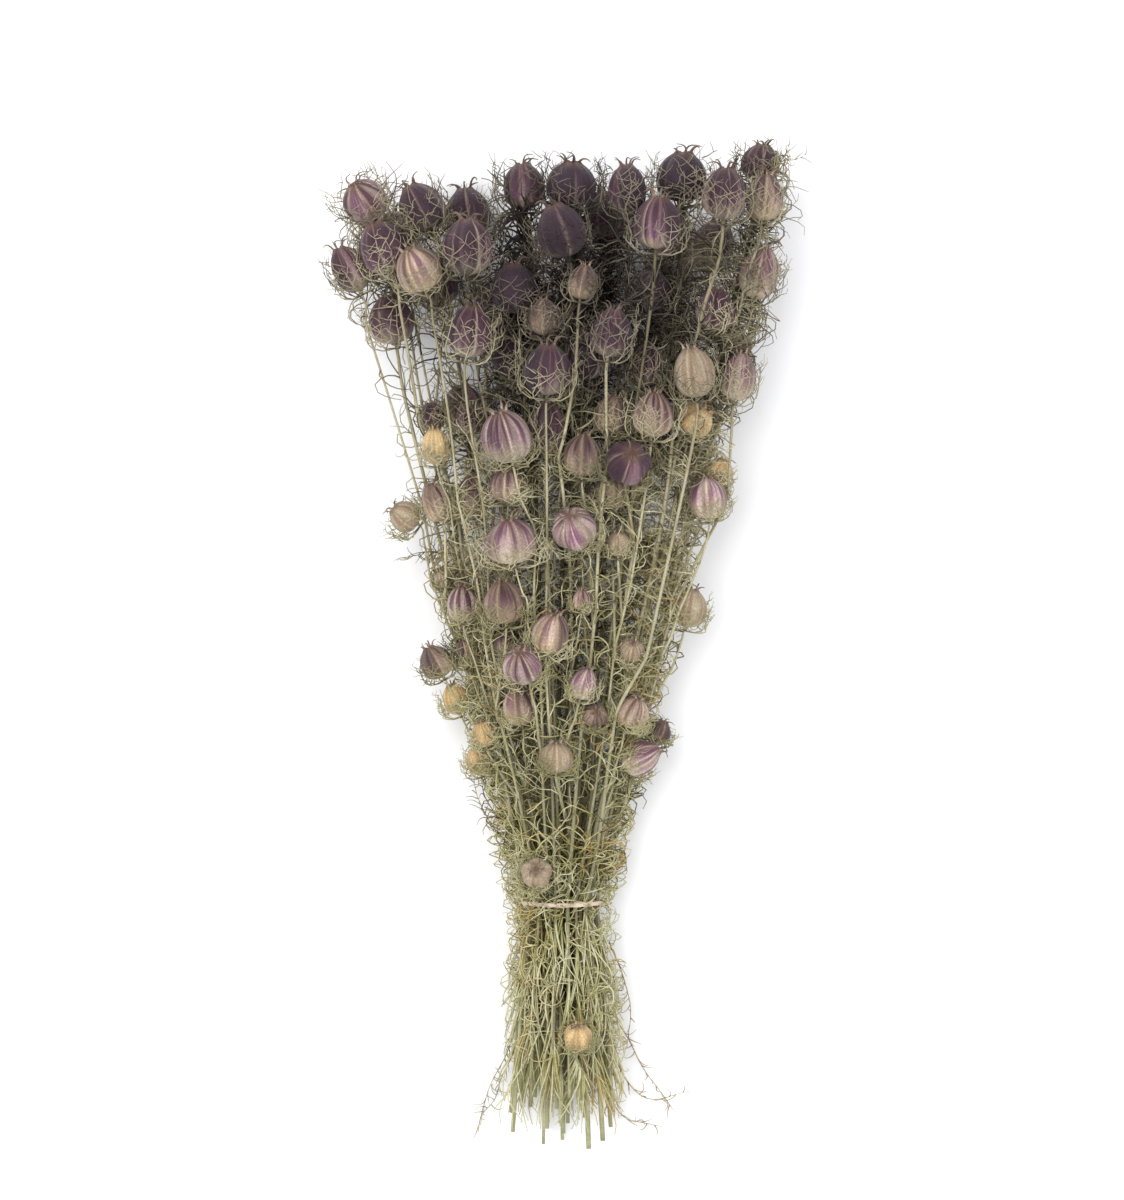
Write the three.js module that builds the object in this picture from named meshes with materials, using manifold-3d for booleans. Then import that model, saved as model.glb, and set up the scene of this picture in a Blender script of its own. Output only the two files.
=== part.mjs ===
// A dried bunch of love-in-a-mist (nigella) seed pods, held by a rubber band and laid on a table.
// Each flower stem is one piece as it grew: a cut main stem, its side branches, a lobed pod with five
// horns on the end of each, the thread-like bracts that cup the pods, and thread-like leaves.
//
// Units are millimetres. While the bunch is laid out the band is at y = 0, the heads lie towards +Y
// and the table is z = 0. The finished group is moved so that its outline is centred on the origin.
import * as THREE from "three";
import { mergeVertices } from "three/addons/utils/BufferGeometryUtils.js";
import Module from "manifold-3d";

const wasm = await Module();
wasm.setup();

// The bunch as a whole
const BAND_MIDDLE_Z = 19; // height of the bundle's middle above the table, at the band
const ARCH_RISE = 27; // how much higher the middle of the heads is than that
const ARCH_LENGTH = 380; // distance from the band over which the bunch rises
const BUNDLE_HALF_WIDTH = 19; // of the stems' centres, at the band
const BUNDLE_HALF_HEIGHT = 14.5;
const STEMS_SPREAD = 0.048; // growth of the stems' half height for each mm from the band
const HEADS_HALF_WIDTH = 24; // the whole bunch's half width at the band
const HEADS_SPREAD = 0.245; // growth of that half width for each mm from the band
const FLARE_BELOW = 0.0042; // how fast the cut ends spread sideways below the band, for each mm,
const RISE_BELOW = 0.0011; // and how fast upwards and downwards
const SHORTEST_CUT = 88; // shortest and longest cut end, measured from the band
const LONGEST_CUT = 126;

// One plant's pieces
const MAIN_STEM_RADIUS = 1.1;
const SIDE_STEM_RADIUS = 0.85;
const THREAD_RADIUS = 0.42;
const STEM_SIDES = 3;
const LOBES = 5;
const BRACTS = 3; // on each pod, and one fewer on a small pod
const SMALL_POD = 18;
const CAPSULE_SHARE = 0.9; // of a pod's length as listed, which reaches halfway up its horns
const HORN_REACH = 0.32; // height of the horns above the capsule, as a share of its length

// Room between neighbours
const POD_GAP = 0.9;
const STEM_SPACING = 3.4; // between the centre lines of two stems
const STEM_TO_POD = 2.4; // from a stem's centre line to a pod's skin
const THREAD_GAP = 0.6; // between a thread and anything on another plant

// The rubber band
const BAND_WIDTH = 2.2;
const BAND_THICKNESS = 1.1;
const BAND_CLEARANCE = 0.55; // from the outermost stems

// Pods at the ends of the main stems, front to back, then those on the underside. Each row is:
// across, along, width, length, lean to the right, nod towards the viewer (both in degrees) and
// depth, from 1 on the upper face through 0 in the middle to -1 on the table.
const MAIN_PODS = [
  [-98, 354, 23, 24, -35, 35, 0.3],
  [-70, 350, 23, 28, -30, 5, 0.5],
  [-88, 329, 25, 29, -22, 10, 0.9],
  [-105, 320, 19, 27, -28, 0, 0.2],
  [-73, 319, 24, 25, -25, 25, 1],
  [-87, 295, 24, 27, -12, 0, 0.1],
  [-47, 329, 26, 31, 0, 5, 0.9],
  [-46, 287, 23, 29, 8, 8, 1],
  [-18, 361, 22, 26, -5, 5, 0.3],
  [3, 361, 26, 26, 3, 15, 0.4],
  [0, 337, 25, 30, -18, 8, 0.95],
  [-23, 309, 24, 28, -5, 5, 0.5],
  [10, 311, 15, 19, 10, 0, 1],
  [-9, 294, 17, 20, -8, 5, 0.8],
  [-7, 268, 24, 28, 3, 10, 0.9],
  [12, 276, 21, 27, 6, 5, 0.5],
  [24, 286, 21, 27, 8, 5, 0.95],
  [33, 358, 20, 27, -4, 5, 0.7],
  [47, 341, 24, 29, 4, 8, 1],
  [61, 365, 27, 28, 2, 10, 0.5],
  [80, 356, 23, 29, 3, 5, 0.9],
  [100, 374, 20, 21, 5, 10, -0.1],
  [101, 355, 20, 26, 5, 0, 0.6],
  [99, 318, 20, 30, 12, 0, 0.5],
  [76, 299, 20, 24, 10, 5, 0.6],
  [65, 267, 21, 28, -8, 8, 0.95],
  [88, 266, 18, 27, 10, 0, 0.4],
  [87, 285, 13, 16, 8, 0, 0],
  [67, 244, 19, 18, 50, 15, 0.9],
  [45, 246, 21, 25, 4, 8, 0.95],
  [25, 246, 19, 22, 5, 5, 0.6],
  [-8, 239, 20, 29, 3, 8, 0.8],
  [-27, 235, 26, 29, -14, 15, 1],
  [-65, 246, 13, 16, -10, 0, 0.2],
  [-47, 244, 14, 17, -5, 0, 0.5],
  [-84, 338, 23, 27, -15, -5, -0.6],
  [-48, 352, 24, 28, -8, -5, -1.3],
  [22, 350, 24, 27, 3, -5, -0.8],
  [56, 332, 24, 28, 6, -5, -0.9],
  [78, 336, 22, 27, 10, 0, -2],
  [-33, 305, 22, 27, -5, -5, -0.8],
  [6, 300, 24, 28, 0, -5, -1],
  [-50, 252, 22, 26, -8, -5, -0.9],
  [34, 246, 22, 26, 6, -5, -0.95],
];

// Pods on side branches: those seen from above, those deep in the heads, those on the underside.
const SIDE_PODS = [
  [33, 222, 23, 22, 20, 62, 1],
  [10, 226, 21, 23, 2, 8, 0.8],
  [-27, 211, 20, 19, 0, 5, 0.7],
  [-63, 231, 15, 20, -5, 5, 0.7],
  [-79, 196, 17, 17, -55, 10, 0.3],
  [-63, 203, 16, 22, -18, 0, 0.5],
  [-45, 206, 17, 22, -5, 5, 0.5],
  [25, 208, 19, 19, 0, 0, 0.5],
  [6, 190, 23, 22, -25, 50, 1],
  [-25, 183, 27, 25, -8, 12, 1],
  [28, 182, 13, 14, 0, 10, 0.8],
  [79, 219, 15, 15, 25, 5, 0.2],
  [73, 205, 20, 23, -4, 5, 0.6],
  [64, 150, 18, 22, 12, 0, 0.2],
  [10, 154, 10, 12, 3, 10, 0.9],
  [-29, 153, 21, 24, -5, 8, 1],
  [-50, 152, 17, 20, -3, 5, 0.5],
  [-59, 165, 11, 11, -20, 5, 0.1],
  [-6, 137, 20, 23, 12, 20, 1],
  [-29, 134, 15, 15, -5, 10, 0.4],
  [-19, 122, 20, 21, -18, 45, 1],
  [-62, 123, 17, 19, -28, 5, 0.3],
  [-50, 127, 11, 15, -12, 5, 0.4],
  [35, 129, 13, 14, 10, 45, 0.8],
  [11, 112, 14, 18, 15, 10, 0.9],
  [-21, 101, 18, 22, -8, 5, 0.8],
  [17, 96, 13, 12, 5, 60, 0.9],
  [36, 97, 18, 18, 22, 10, 0.6],
  [-54, 104, 14, 18, -18, 5, 0.3],
  [39, 75, 17, 23, 62, 5, 0.8],
  [49, 87, 14, 14, 28, 10, 0.1],
  [-40, 86, 12, 15, -15, 5, 0.4],
  [-42, 73, 13, 17, -10, 5, 0.6],
  [-3, 75, 18, 17, 0, 5, 1],
  [-13, 17, 16, 15, 0, 70, 1.35],
  [8, -65, 15, 15, 0, 30, 1.4],
  [-62, 313, 20, 24, -10, 0, -0.2],
  [45, 308, 21, 25, 5, 0, 0.1],
  [-25, 276, 20, 24, -5, 0, 0.2],
  [42, 272, 20, 24, 5, 0, 0.2],
  [62, 228, 20, 23, 10, 0, -0.7],
  [44, 176, 18, 21, 8, 0, -0.8],
  [-38, 152, 17, 20, -8, 0, -0.9],
  [34, 116, 15, 18, 8, 0, -0.8],
  [-16, 98, 15, 18, -3, 0, -1.2],
];

const GOLDEN = 0.6180339887498949;
const GOLDEN_ANGLE = 2 * Math.PI * (1 - GOLDEN);
const { clamp, degToRad } = THREE.MathUtils;
const at = (x, y, z) => new THREE.Vector3(x, y, z);
const spreadOut = (i) => (i * GOLDEN) % 1; // numbers from 0 to 1 that never bunch together

// Where a pod lies
const FLOOR_BITE = 0.6; // a pod on the table is pressed flat by this much
const HEAD_START = 270; // pods further up than HEAD_END lie among the stems' ends, and those
const HEAD_END = 330; // below HEAD_START lie on the outside of the stems
const OUTSIDE_SHARE = 0.55; // of a pod's radius, by which it lies outside the stems
const LEAST_BULGE = 0.06; // square of how thick the bunch is at its sides, as a share of its middle
const NECK_STRAIGHT = 0.2; // last stretch of the stalk, along the pod's own axis, and the stretch
const NECK_BEND = 0.36; // before it, where the stalk turns: both as a share of the pod's length

const middleZ = (y) => BAND_MIDDLE_Z + ARCH_RISE * (1 - (1 - clamp(y / ARCH_LENGTH, 0, 1)) ** 2);
const halfWidth = (y) => HEADS_HALF_WIDTH + HEADS_SPREAD * Math.max(y, 0);
function stemsHalfHeight(y) {
  const grown = y > 0 ? STEMS_SPREAD * y : -RISE_BELOW * BUNDLE_HALF_HEIGHT * y;
  return BUNDLE_HALF_HEIGHT + MAIN_STEM_RADIUS + grown;
}

function makePod([x, y, width, overall, lean, nod, depth]) {
  const length = CAPSULE_SHARE * overall;
  const outside = OUTSIDE_SHARE * clamp((HEAD_END - y) / (HEAD_END - HEAD_START), 0, 1);
  const bulge = Math.sqrt(Math.max(LEAST_BULGE, 1 - (x / halfWidth(y)) ** 2));
  const z = middleZ(y) + depth * bulge * (stemsHalfHeight(y) + (outside * width) / 2);
  const [turn, tip] = [degToRad(lean), degToRad(nod)];
  const axis = at(Math.sin(turn) * Math.cos(tip), Math.cos(turn) * Math.cos(tip), Math.sin(tip));
  const lowest = width / 2 - FLOOR_BITE;
  const reach = (width + length) / 4;
  return { width, length, axis, lowest, reach, centre: at(x, y, Math.max(z, lowest)) };
}

// Pods are moved apart, mostly up or down, where balls round them would overlap: one round a pod, one
// round its horns and two on its stalk. No pod goes below the table.
const STALK_ROOM = 1.6;
const STALK_STEP = 7;
const HORNS_AT = 0.66; // of a pod's length above its middle
const HORNS_ROOM = 0.3; // of its width
const SETTLE_ROUNDS = 240;
const HOMEWARD = 0.1; // share of the way home that a pod is drawn back in the first round
const HOMEWARD_UP = 0.2; // of that, upwards and downwards
const LIFT = 6; // mm added to the height between two pods, so that they part mostly up and down
function roomOf({ centre, axis, length, width, reach }) {
  const along = (share) => centre.clone().addScaledVector(axis, share * length);
  const lower = along(-0.5 - NECK_STRAIGHT).add(at(0, -STALK_STEP, 0));
  return [
    [centre, reach],
    [along(HORNS_AT), HORNS_ROOM * width],
    [along(-0.5 - NECK_STRAIGHT), STALK_ROOM],
    [lower, STALK_ROOM],
  ];
}
const MEETINGS = [[0, 0], [0, 1], [1, 0], [0, 2], [2, 0], [0, 3], [3, 0], [1, 2], [2, 1]];
function settlePods(pods) {
  const homes = pods.map((pod) => pod.centre.clone());
  for (let round = 0; round < SETTLE_ROUNDS; round++) {
    const pull = HOMEWARD * (1 - round / SETTLE_ROUNDS);
    const moves = pods.map((pod, i) => homes[i].clone().sub(pod.centre).multiplyScalar(pull));
    moves.forEach((move) => move.multiply(at(1, 1, HOMEWARD_UP)));
    const rooms = pods.map(roomOf);
    for (let i = 0; i < pods.length; i++) {
      for (let j = i + 1; j < pods.length; j++) {
        const upOrDown = homes[i].z >= homes[j].z ? LIFT : -LIFT;
        for (const [from, to] of MEETINGS) {
          const apart = rooms[i][from][0].clone().sub(rooms[j][to][0]);
          const lacking = rooms[i][from][1] + rooms[j][to][1] + POD_GAP - apart.length();
          if (lacking <= 0) continue;
          const push = apart.add(at(0, 0, upOrDown)).normalize().multiplyScalar(0.5 * lacking);
          moves[i].add(push);
          moves[j].sub(push);
        }
      }
    }
    pods.forEach((pod, i) => {
      pod.centre.add(moves[i]);
      pod.centre.z = Math.max(pod.centre.z, pod.lowest);
    });
  }
}

// The last points of a pod's stalk: where it starts to turn, where it has turned, and the pod's base.
function addNeck(pod) {
  pod.base = pod.centre.clone().addScaledVector(pod.axis, -pod.length / 2);
  pod.neck = pod.base.clone().addScaledVector(pod.axis, -NECK_STRAIGHT * pod.length);
  pod.entry = pod.neck.clone().addScaledVector(pod.axis, (-NECK_STRAIGHT / 2) * pod.length);
  pod.entry.y -= NECK_BEND * pod.length;
  pod.entry.z = Math.max(pod.entry.z, MAIN_STEM_RADIUS);
}

// The main stems' places in the bundle at the band: an even spread over an ellipse. Stems are
// given places so that no two cross: any two that would are swapped.
function placeMains(mains) {
  const slots = mains.map((_, i) => {
    const r = Math.sqrt((i + 0.5) / mains.length);
    const turn = i * GOLDEN_ANGLE;
    return [BUNDLE_HALF_WIDTH * r * Math.cos(turn), BUNDLE_HALF_HEIGHT * r * Math.sin(turn)];
  });
  const goals = mains.map(({ pod }) => {
    const far = ARCH_LENGTH / pod.entry.y;
    return [pod.entry.x * far, (pod.entry.z - BAND_MIDDLE_Z) * far];
  });
  for (let swapped = true; swapped; ) {
    swapped = false;
    for (let i = 0; i < mains.length; i++) {
      for (let j = i + 1; j < mains.length; j++) {
        const along =
          (slots[i][0] - slots[j][0]) * (goals[i][0] - goals[j][0]) +
          (slots[i][1] - slots[j][1]) * (goals[i][1] - goals[j][1]);
        if (along >= 0) continue;
        [slots[i], slots[j]] = [slots[j], slots[i]];
        swapped = true;
      }
    }
  }
  mains.forEach((main, i) => {
    main.slot = at(slots[i][0], 0, BAND_MIDDLE_Z + slots[i][1]);
  });
}

// A main stem's centre at y: its own points above the band, a straight flare below it.
const STATION = 5; // distance between the planes across the bunch in which stems are kept apart
function centreAt(main, y) {
  if (y >= 0) {
    const k = clamp(Math.round(y / STATION), 0, main.last);
    return at(main.x[k], k * STATION, main.z[k]);
  }
  const { x, z } = main.slot;
  return at(x * (1 - FLARE_BELOW * y), y, BAND_MIDDLE_Z + (z - BAND_MIDDLE_Z) * (1 - RISE_BELOW * y));
}

function straightStations(stem, start, end) {
  stem.first = Math.round(start.y / STATION);
  stem.last = Math.max(Math.floor((end.y - STATION / 2) / STATION), stem.first);
  stem.x = [];
  stem.z = [];
  for (let k = Math.max(stem.first, 0); k <= stem.last; k++) {
    const share = clamp((k * STATION - start.y) / (end.y - start.y), 0, 1);
    stem.x[k] = start.x + (end.x - start.x) * share;
    stem.z[k] = start.z + (end.z - start.z) * share;
  }
}

// Each side branch grows from a near main stem from which nothing is in its way.
const MOST_BRANCHES = 2;
const IN_THE_WAY = 30; // mm that a branch may be longer to have one stem fewer in its way
const FORK_SHARE = 0.3; // how far below its pod a branch starts, as a share of the pod's distance from
const FORK_RANGE = [18, 60]; // the band, and between which limits
const CROSSING = 0.6; // two straight stretches nearer than this share of the spacing would cross
const JOIN_BELOW = 20; // a branch starts at least this far below its host's end
const JOIN_ABOVE = 5; // and above its host's cut end
function joinSides(sides, mains) {
  const stretches = mains.map((m) => [m, [centreAt(m, -m.cut), centreAt(m, 0), m.pod.entry]]);
  for (const side of sides) {
    const { entry } = side.pod;
    const y = entry.y - clamp(FORK_SHARE * entry.y, ...FORK_RANGE);
    const startY = entry.y > 0 ? Math.max(Math.round(y / STATION), 1) * STATION : y;
    const cost = (host) => {
      const start = centreAt(host, startY);
      const met = stretches.filter(
        ([stem, line]) =>
          stem !== host &&
          stem.host !== host &&
          line.slice(1).some((p, i) => rodsApart(start, entry, line[i], p) < CROSSING * STEM_SPACING),
      );
      return start.distanceTo(entry) + IN_THE_WAY * met.length;
    };
    const reaches = (m) => m.last * STATION > y + JOIN_BELOW && startY > JOIN_ABOVE - m.cut;
    const room = mains.filter((m) => m.branches < MOST_BRANCHES && reaches(m));
    side.host = room.reduce((a, b) => (cost(b) < cost(a) ? b : a));
    side.host.branches += 1;
    side.startY = startY;
    straightStations(side, centreAt(side.host, startY), entry);
    stretches.push([side, [centreAt(side.host, startY), entry]]);
  }
}

// Stems bend round pods and round each other: in each plane across the bunch they are pushed clear,
// and between rounds each is smoothed along its length. Its lower end stays where it is.
const BEND_ROUNDS = 140;
const SMOOTH_ROUNDS = 120; // the rest only push, so that nothing is drawn back into a neighbour
const SMOOTH_STEM = 0.4; // share of the way to its neighbours' middle that a station moves
const SMOOTH_ENTRY = 0.3;
const OFF_TABLE = 0.3;
function bendClear(stems, pods) {
  const held = (s, k) => k <= Math.max(s.first, 0);
  for (let round = 0; round < BEND_ROUNDS; round++) {
    const pushes = stems.map((s) => ({ x: s.x.map(() => 0), z: s.z.map(() => 0) }));
    stems.forEach((s, i) => {
      for (let k = Math.max(s.first, 0); k <= s.last; k++) {
        for (const pod of pods) {
          if (pod === s.pod) continue;
          const around = (pod.reach + STEM_TO_POD) ** 2 - (k * STATION - pod.centre.y) ** 2;
          if (around <= 0) continue;
          const [dx, dz] = [s.x[k] - pod.centre.x, s.z[k] - pod.centre.z];
          const away = Math.hypot(dx, dz) || 1e-6;
          const lacking = Math.sqrt(around) - away;
          if (lacking <= 0) continue;
          pushes[i].x[k] += (dx / away) * lacking;
          pushes[i].z[k] += (dz / away) * lacking;
        }
      }
    });
    for (let i = 0; i < stems.length; i++) {
      for (let j = i + 1; j < stems.length; j++) {
        const [a, b] = [stems[i], stems[j]];
        const joined = a.host === b || b.host === a;
        const from = Math.max(a.first, b.first, 0) + (joined ? 2 : 0);
        for (let k = from; k <= Math.min(a.last, b.last); k++) {
          const [dx, dz] = [a.x[k] - b.x[k], a.z[k] - b.z[k]];
          const away = Math.hypot(dx, dz) || 1e-6;
          const lacking = 0.5 * (STEM_SPACING - away);
          if (lacking <= 0) continue;
          pushes[i].x[k] += (dx / away) * lacking;
          pushes[i].z[k] += (dz / away) * lacking;
          pushes[j].x[k] -= (dx / away) * lacking;
          pushes[j].z[k] -= (dz / away) * lacking;
        }
      }
    }
    stems.forEach((s, i) => {
      for (let k = Math.max(s.first, 0); k <= s.last; k++) {
        if (held(s, k)) continue;
        s.x[k] += pushes[i].x[k];
        s.z[k] = Math.max(s.z[k] + pushes[i].z[k], MAIN_STEM_RADIUS + OFF_TABLE);
      }
    });
    for (const { pod, last } of stems) {
      if (last <= 0) continue;
      for (const other of pods) {
        const apart = pod.entry.clone().sub(other.centre);
        const lacking = other.reach + STEM_TO_POD - apart.length();
        if (other === pod || lacking <= 0) continue;
        apart.y = 0;
        pod.entry.addScaledVector(apart.normalize(), lacking);
      }
      pod.entry.z = Math.max(pod.entry.z, MAIN_STEM_RADIUS + OFF_TABLE);
    }
    if (round >= SMOOTH_ROUNDS) continue;
    for (const s of stems) {
      const [x, z] = [s.x.slice(), s.z.slice()];
      const { entry, neck } = s.pod;
      if (s.last > 0) {
        entry.x += SMOOTH_ENTRY * ((x[s.last] + neck.x) / 2 - entry.x);
        entry.z += SMOOTH_ENTRY * ((z[s.last] + neck.z) / 2 - entry.z);
      }
      for (let k = Math.max(s.first, 0) + 1; k <= s.last; k++) {
        const next = k === s.last ? [s.pod.entry.x, s.pod.entry.z] : [x[k + 1], z[k + 1]];
        s.x[k] += SMOOTH_STEM * ((x[k - 1] + next[0]) / 2 - x[k]);
        s.z[k] += SMOOTH_STEM * ((z[k - 1] + next[1]) / 2 - z[k]);
      }
    }
    for (const s of stems) {
      if (!s.host || s.first < 0) continue;
      s.x[s.first] = s.host.x[s.first];
      s.z[s.first] = s.host.z[s.first];
    }
  }
}

function stemPoints(stem) {
  const points = [];
  if (!stem.host) {
    points.push(centreAt(stem, -stem.cut));
  } else if (stem.first < 0) {
    points.push(centreAt(stem.host, stem.startY));
  }
  for (let k = Math.max(stem.first, 0); k <= stem.last; k++) {
    points.push(at(stem.x[k], k * STATION, stem.z[k]));
  }
  return [...points, stem.pod.entry, stem.pod.neck, stem.pod.base];
}

// Fewer points for the same line: those nearer than the tolerance to a straight stretch go.
function thinned(points, tolerance) {
  if (points.length < 3) return points;
  const line = new THREE.Line3(points[0], points[points.length - 1]);
  const off = points.map((p) => line.closestPointToPoint(p, true, at(0, 0, 0)).distanceTo(p));
  const worst = off.indexOf(Math.max(...off));
  if (off[worst] < tolerance) return [points[0], points[points.length - 1]];
  return [
    ...thinned(points.slice(0, worst + 1), tolerance).slice(0, -1),
    ...thinned(points.slice(worst), tolerance),
  ];
}

function solidFrom(vertices, faces) {
  const geometry = new THREE.BufferGeometry();
  geometry.setAttribute("position", new THREE.Float32BufferAttribute(vertices, 3));
  geometry.setIndex(faces);
  return manifoldOf(geometry);
}

function manifoldOf(geometry) {
  const plain = new THREE.BufferGeometry().setAttribute("position", geometry.getAttribute("position"));
  plain.setIndex(geometry.index);
  const merged = mergeVertices(plain, 1e-4);
  return new wasm.Manifold(
    new wasm.Mesh({
      numProp: 3,
      vertProperties: merged.attributes.position.array,
      triVerts: new Uint32Array(merged.index.array),
    }),
  );
}

// A closed tube along a line of points, with a radius at each. A last radius of 0 ends in a point.
function tube(points, radii, sides) {
  const vertices = [];
  const faces = [];
  let across = at(0.31, 0.17, 0.93);
  points.forEach((p, n) => {
    const before = points[Math.max(n - 1, 0)];
    const after = points[Math.min(n + 1, points.length - 1)];
    const along = after.clone().sub(before).normalize();
    across = across.clone().addScaledVector(along, -across.dot(along)).normalize();
    const second = along.clone().cross(across);
    const corners = radii[n] > 0 ? sides : 1;
    for (let s = 0; s < corners; s++) {
      const turn = (2 * Math.PI * s) / sides;
      const corner = p
        .clone()
        .addScaledVector(across, radii[n] * Math.cos(turn))
        .addScaledVector(second, radii[n] * Math.sin(turn));
      vertices.push(corner.x, corner.y, corner.z);
    }
  });
  const pointed = radii[radii.length - 1] === 0;
  const rings = pointed ? points.length - 1 : points.length;
  for (let n = 0; n + 1 < rings; n++) {
    for (let s = 0; s < sides; s++) {
      const [a, b] = [n * sides + s, n * sides + ((s + 1) % sides)];
      faces.push(a, b, b + sides, a, b + sides, a + sides);
    }
  }
  const end = (rings - 1) * sides;
  for (let s = 0; s < sides; s++) {
    const next = (s + 1) % sides;
    if (pointed) faces.push(end + s, end + next, rings * sides);
    if (s > 0 && s + 1 < sides) {
      faces.push(0, s + 1, s);
      if (!pointed) faces.push(end, end + s, end + s + 1);
    }
  }
  return solidFrom(vertices, faces);
}

// A pod's outline as [radius as a share of half the width, height as a share of the length].
const POD_RINGS = [
  [0.88, 0.25],
  [1, 0.64],
  [0.42, 0.97],
];
const SMALL_POD_RINGS = [
  [1, 0.36],
  [0.86, 0.78],
];
const ringsOf = (pod) => (pod.width < SMALL_POD ? SMALL_POD_RINGS : POD_RINGS);
const GROOVE = 0.88; // radius at the ribs between the lobes, as a share of the lobes' own
const CROWN_TIP = 0.64; // how far out a horn's tip is
const CROWN_DIP = [0.24, 0.94]; // the crown between two horns
const CROWN_MIDDLE = 0.9;

// The pod's own frame: +Z along its axis, turned about it by its roll.
function podFrame(pod) {
  const first = at(0, 0, 1).addScaledVector(pod.axis, -pod.axis.z);
  if (first.length() < 0.2) first.copy(at(1, 0, 0)).addScaledVector(pod.axis, -pod.axis.x);
  first.normalize();
  const second = pod.axis.clone().cross(first);
  return (r, turn, h) =>
    pod.base
      .clone()
      .addScaledVector(first, r * Math.cos(turn + pod.roll))
      .addScaledVector(second, r * Math.sin(turn + pod.roll))
      .addScaledVector(pod.axis, h);
}

const hornTip = (pod, place, lobe, reach) =>
  place((CROWN_TIP * pod.width) / 2, (2 * Math.PI * lobe) / LOBES, (1 + reach) * pod.length);

function podSolid(pod, place) {
  const sectors = 2 * LOBES;
  const points = [place(0, 0, 0)];
  for (const [radius, height] of ringsOf(pod)) {
    for (let s = 0; s < sectors; s++) {
      const r = (radius * (s % 2 ? 1 : GROOVE) * pod.width) / 2;
      points.push(place(r, (2 * Math.PI * s) / sectors, height * pod.length));
    }
  }
  for (let s = 0; s < sectors; s++) {
    const turn = (2 * Math.PI * s) / sectors;
    const dip = place((CROWN_DIP[0] * pod.width) / 2, turn, CROWN_DIP[1] * pod.length);
    points.push(s % 2 ? dip : hornTip(pod, place, s / 2, pod.horns[s / 2]));
  }
  points.push(place(0, 0, CROWN_MIDDLE * pod.length));
  const faces = [];
  const top = points.length - 1;
  const rings = ringsOf(pod).length + 1;
  for (let s = 0; s < sectors; s++) {
    const next = (s + 1) % sectors;
    faces.push(0, 1 + next, 1 + s);
    for (let n = 0; n + 1 < rings; n++) {
      const [a, b] = [1 + n * sectors + s, 1 + n * sectors + next];
      if (s % 2) faces.push(a, b, b + sectors, a, b + sectors, a + sectors);
      else faces.push(a, b, a + sectors, b, b + sectors, a + sectors);
    }
    faces.push(top - sectors + s, top - sectors + next, top);
  }
  return solidFrom(points.flatMap((p) => [p.x, p.y, p.z]), faces);
}

// What each plant already fills, as rods from a to b with a radius, to keep other plants' threads off.
const filled = [];
const fill = (plant, points, radius) =>
  points.slice(1).forEach((p, i) => filled.push({ plant, a: points[i], b: p, radius }));

function rodsApart(a, b, c, d) {
  const [u, v, w] = [b.clone().sub(a), d.clone().sub(c), a.clone().sub(c)];
  const [uu, uv, vv] = [Math.max(u.dot(u), 1e-9), u.dot(v), Math.max(v.dot(v), 1e-9)];
  const [uw, vw] = [u.dot(w), v.dot(w)];
  let s = clamp((uv * vw - vv * uw) / Math.max(uu * vv - uv * uv, 1e-9), 0, 1);
  const t = clamp((uv * s + vw) / vv, 0, 1);
  s = clamp((uv * t - uw) / uu, 0, 1);
  return w.addScaledVector(u, s).addScaledVector(v, -t).length();
}

function isClear(plant, points, radius) {
  if (points.some((p) => p.z < radius + OFF_TABLE)) return false;
  return points.slice(1).every((p, i) =>
    filled.every(
      (rod) =>
        rod.plant === plant ||
        rodsApart(points[i], p, rod.a, rod.b) > rod.radius + radius + THREAD_GAP,
    ),
  );
}

const mains = MAIN_PODS.map((row, i) => ({
  pod: makePod(row),
  branches: 0,
  cut: SHORTEST_CUT + (LONGEST_CUT - SHORTEST_CUT) * spreadOut(i + 1) ** 2,
}));
const sides = SIDE_PODS.map((row) => ({ pod: makePod(row) }));
const stems = [...mains, ...sides];
const pods = stems.map((stem) => stem.pod);
settlePods(pods);
pods.forEach(addNeck);
placeMains(mains);
for (const main of mains) straightStations(main, main.slot, main.pod.entry);
joinSides(sides, mains);
bendClear(stems, pods);

// First the stems and pods of every plant take their room, then the horns, then the threads.
const LINE_TOLERANCE = 0.5;
stems.forEach((stem, i) => {
  stem.plant = stem.host || stem;
  stem.radius = stem.host ? SIDE_STEM_RADIUS : MAIN_STEM_RADIUS;
  stem.line = thinned(stemPoints(stem), LINE_TOLERANCE);
  const onTable = stem.pod.centre.z < stem.pod.width / 2; // such a pod lies on one of its lobes
  stem.pod.roll = onTable ? Math.PI - Math.PI / LOBES : i * GOLDEN_ANGLE;
  const { pod } = stem;
  const stretch = Math.max(pod.length - pod.width, 0) / 2;
  const ends = [-stretch, stretch].map((h) => pod.centre.clone().addScaledVector(pod.axis, h));
  fill(stem.plant, stem.line, stem.radius);
  fill(stem.plant, ends, pod.width / 2);
});
const HORN_ROOM = 1.2;
const HORN_STEPS = [1, 0.7, 0.4, 0.1]; // a horn that would touch a neighbour is shorter
stems.forEach((stem) => {
  const { pod } = stem;
  const place = podFrame(pod);
  const [shoulderRadius, shoulder] = ringsOf(pod).at(-1);
  pod.horns = Array.from({ length: LOBES }, (_, lobe) => {
    const turn = (2 * Math.PI * lobe) / LOBES;
    const root = place((shoulderRadius * pod.width) / 2, turn, shoulder * pod.length);
    const horn = (share) => [root, hornTip(pod, place, lobe, share * HORN_REACH)];
    const share = HORN_STEPS.find((s) => isClear(stem.plant, horn(s), HORN_ROOM)) || HORN_STEPS[3];
    fill(stem.plant, horn(share), HORN_ROOM);
    return share * HORN_REACH;
  });
});

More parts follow.
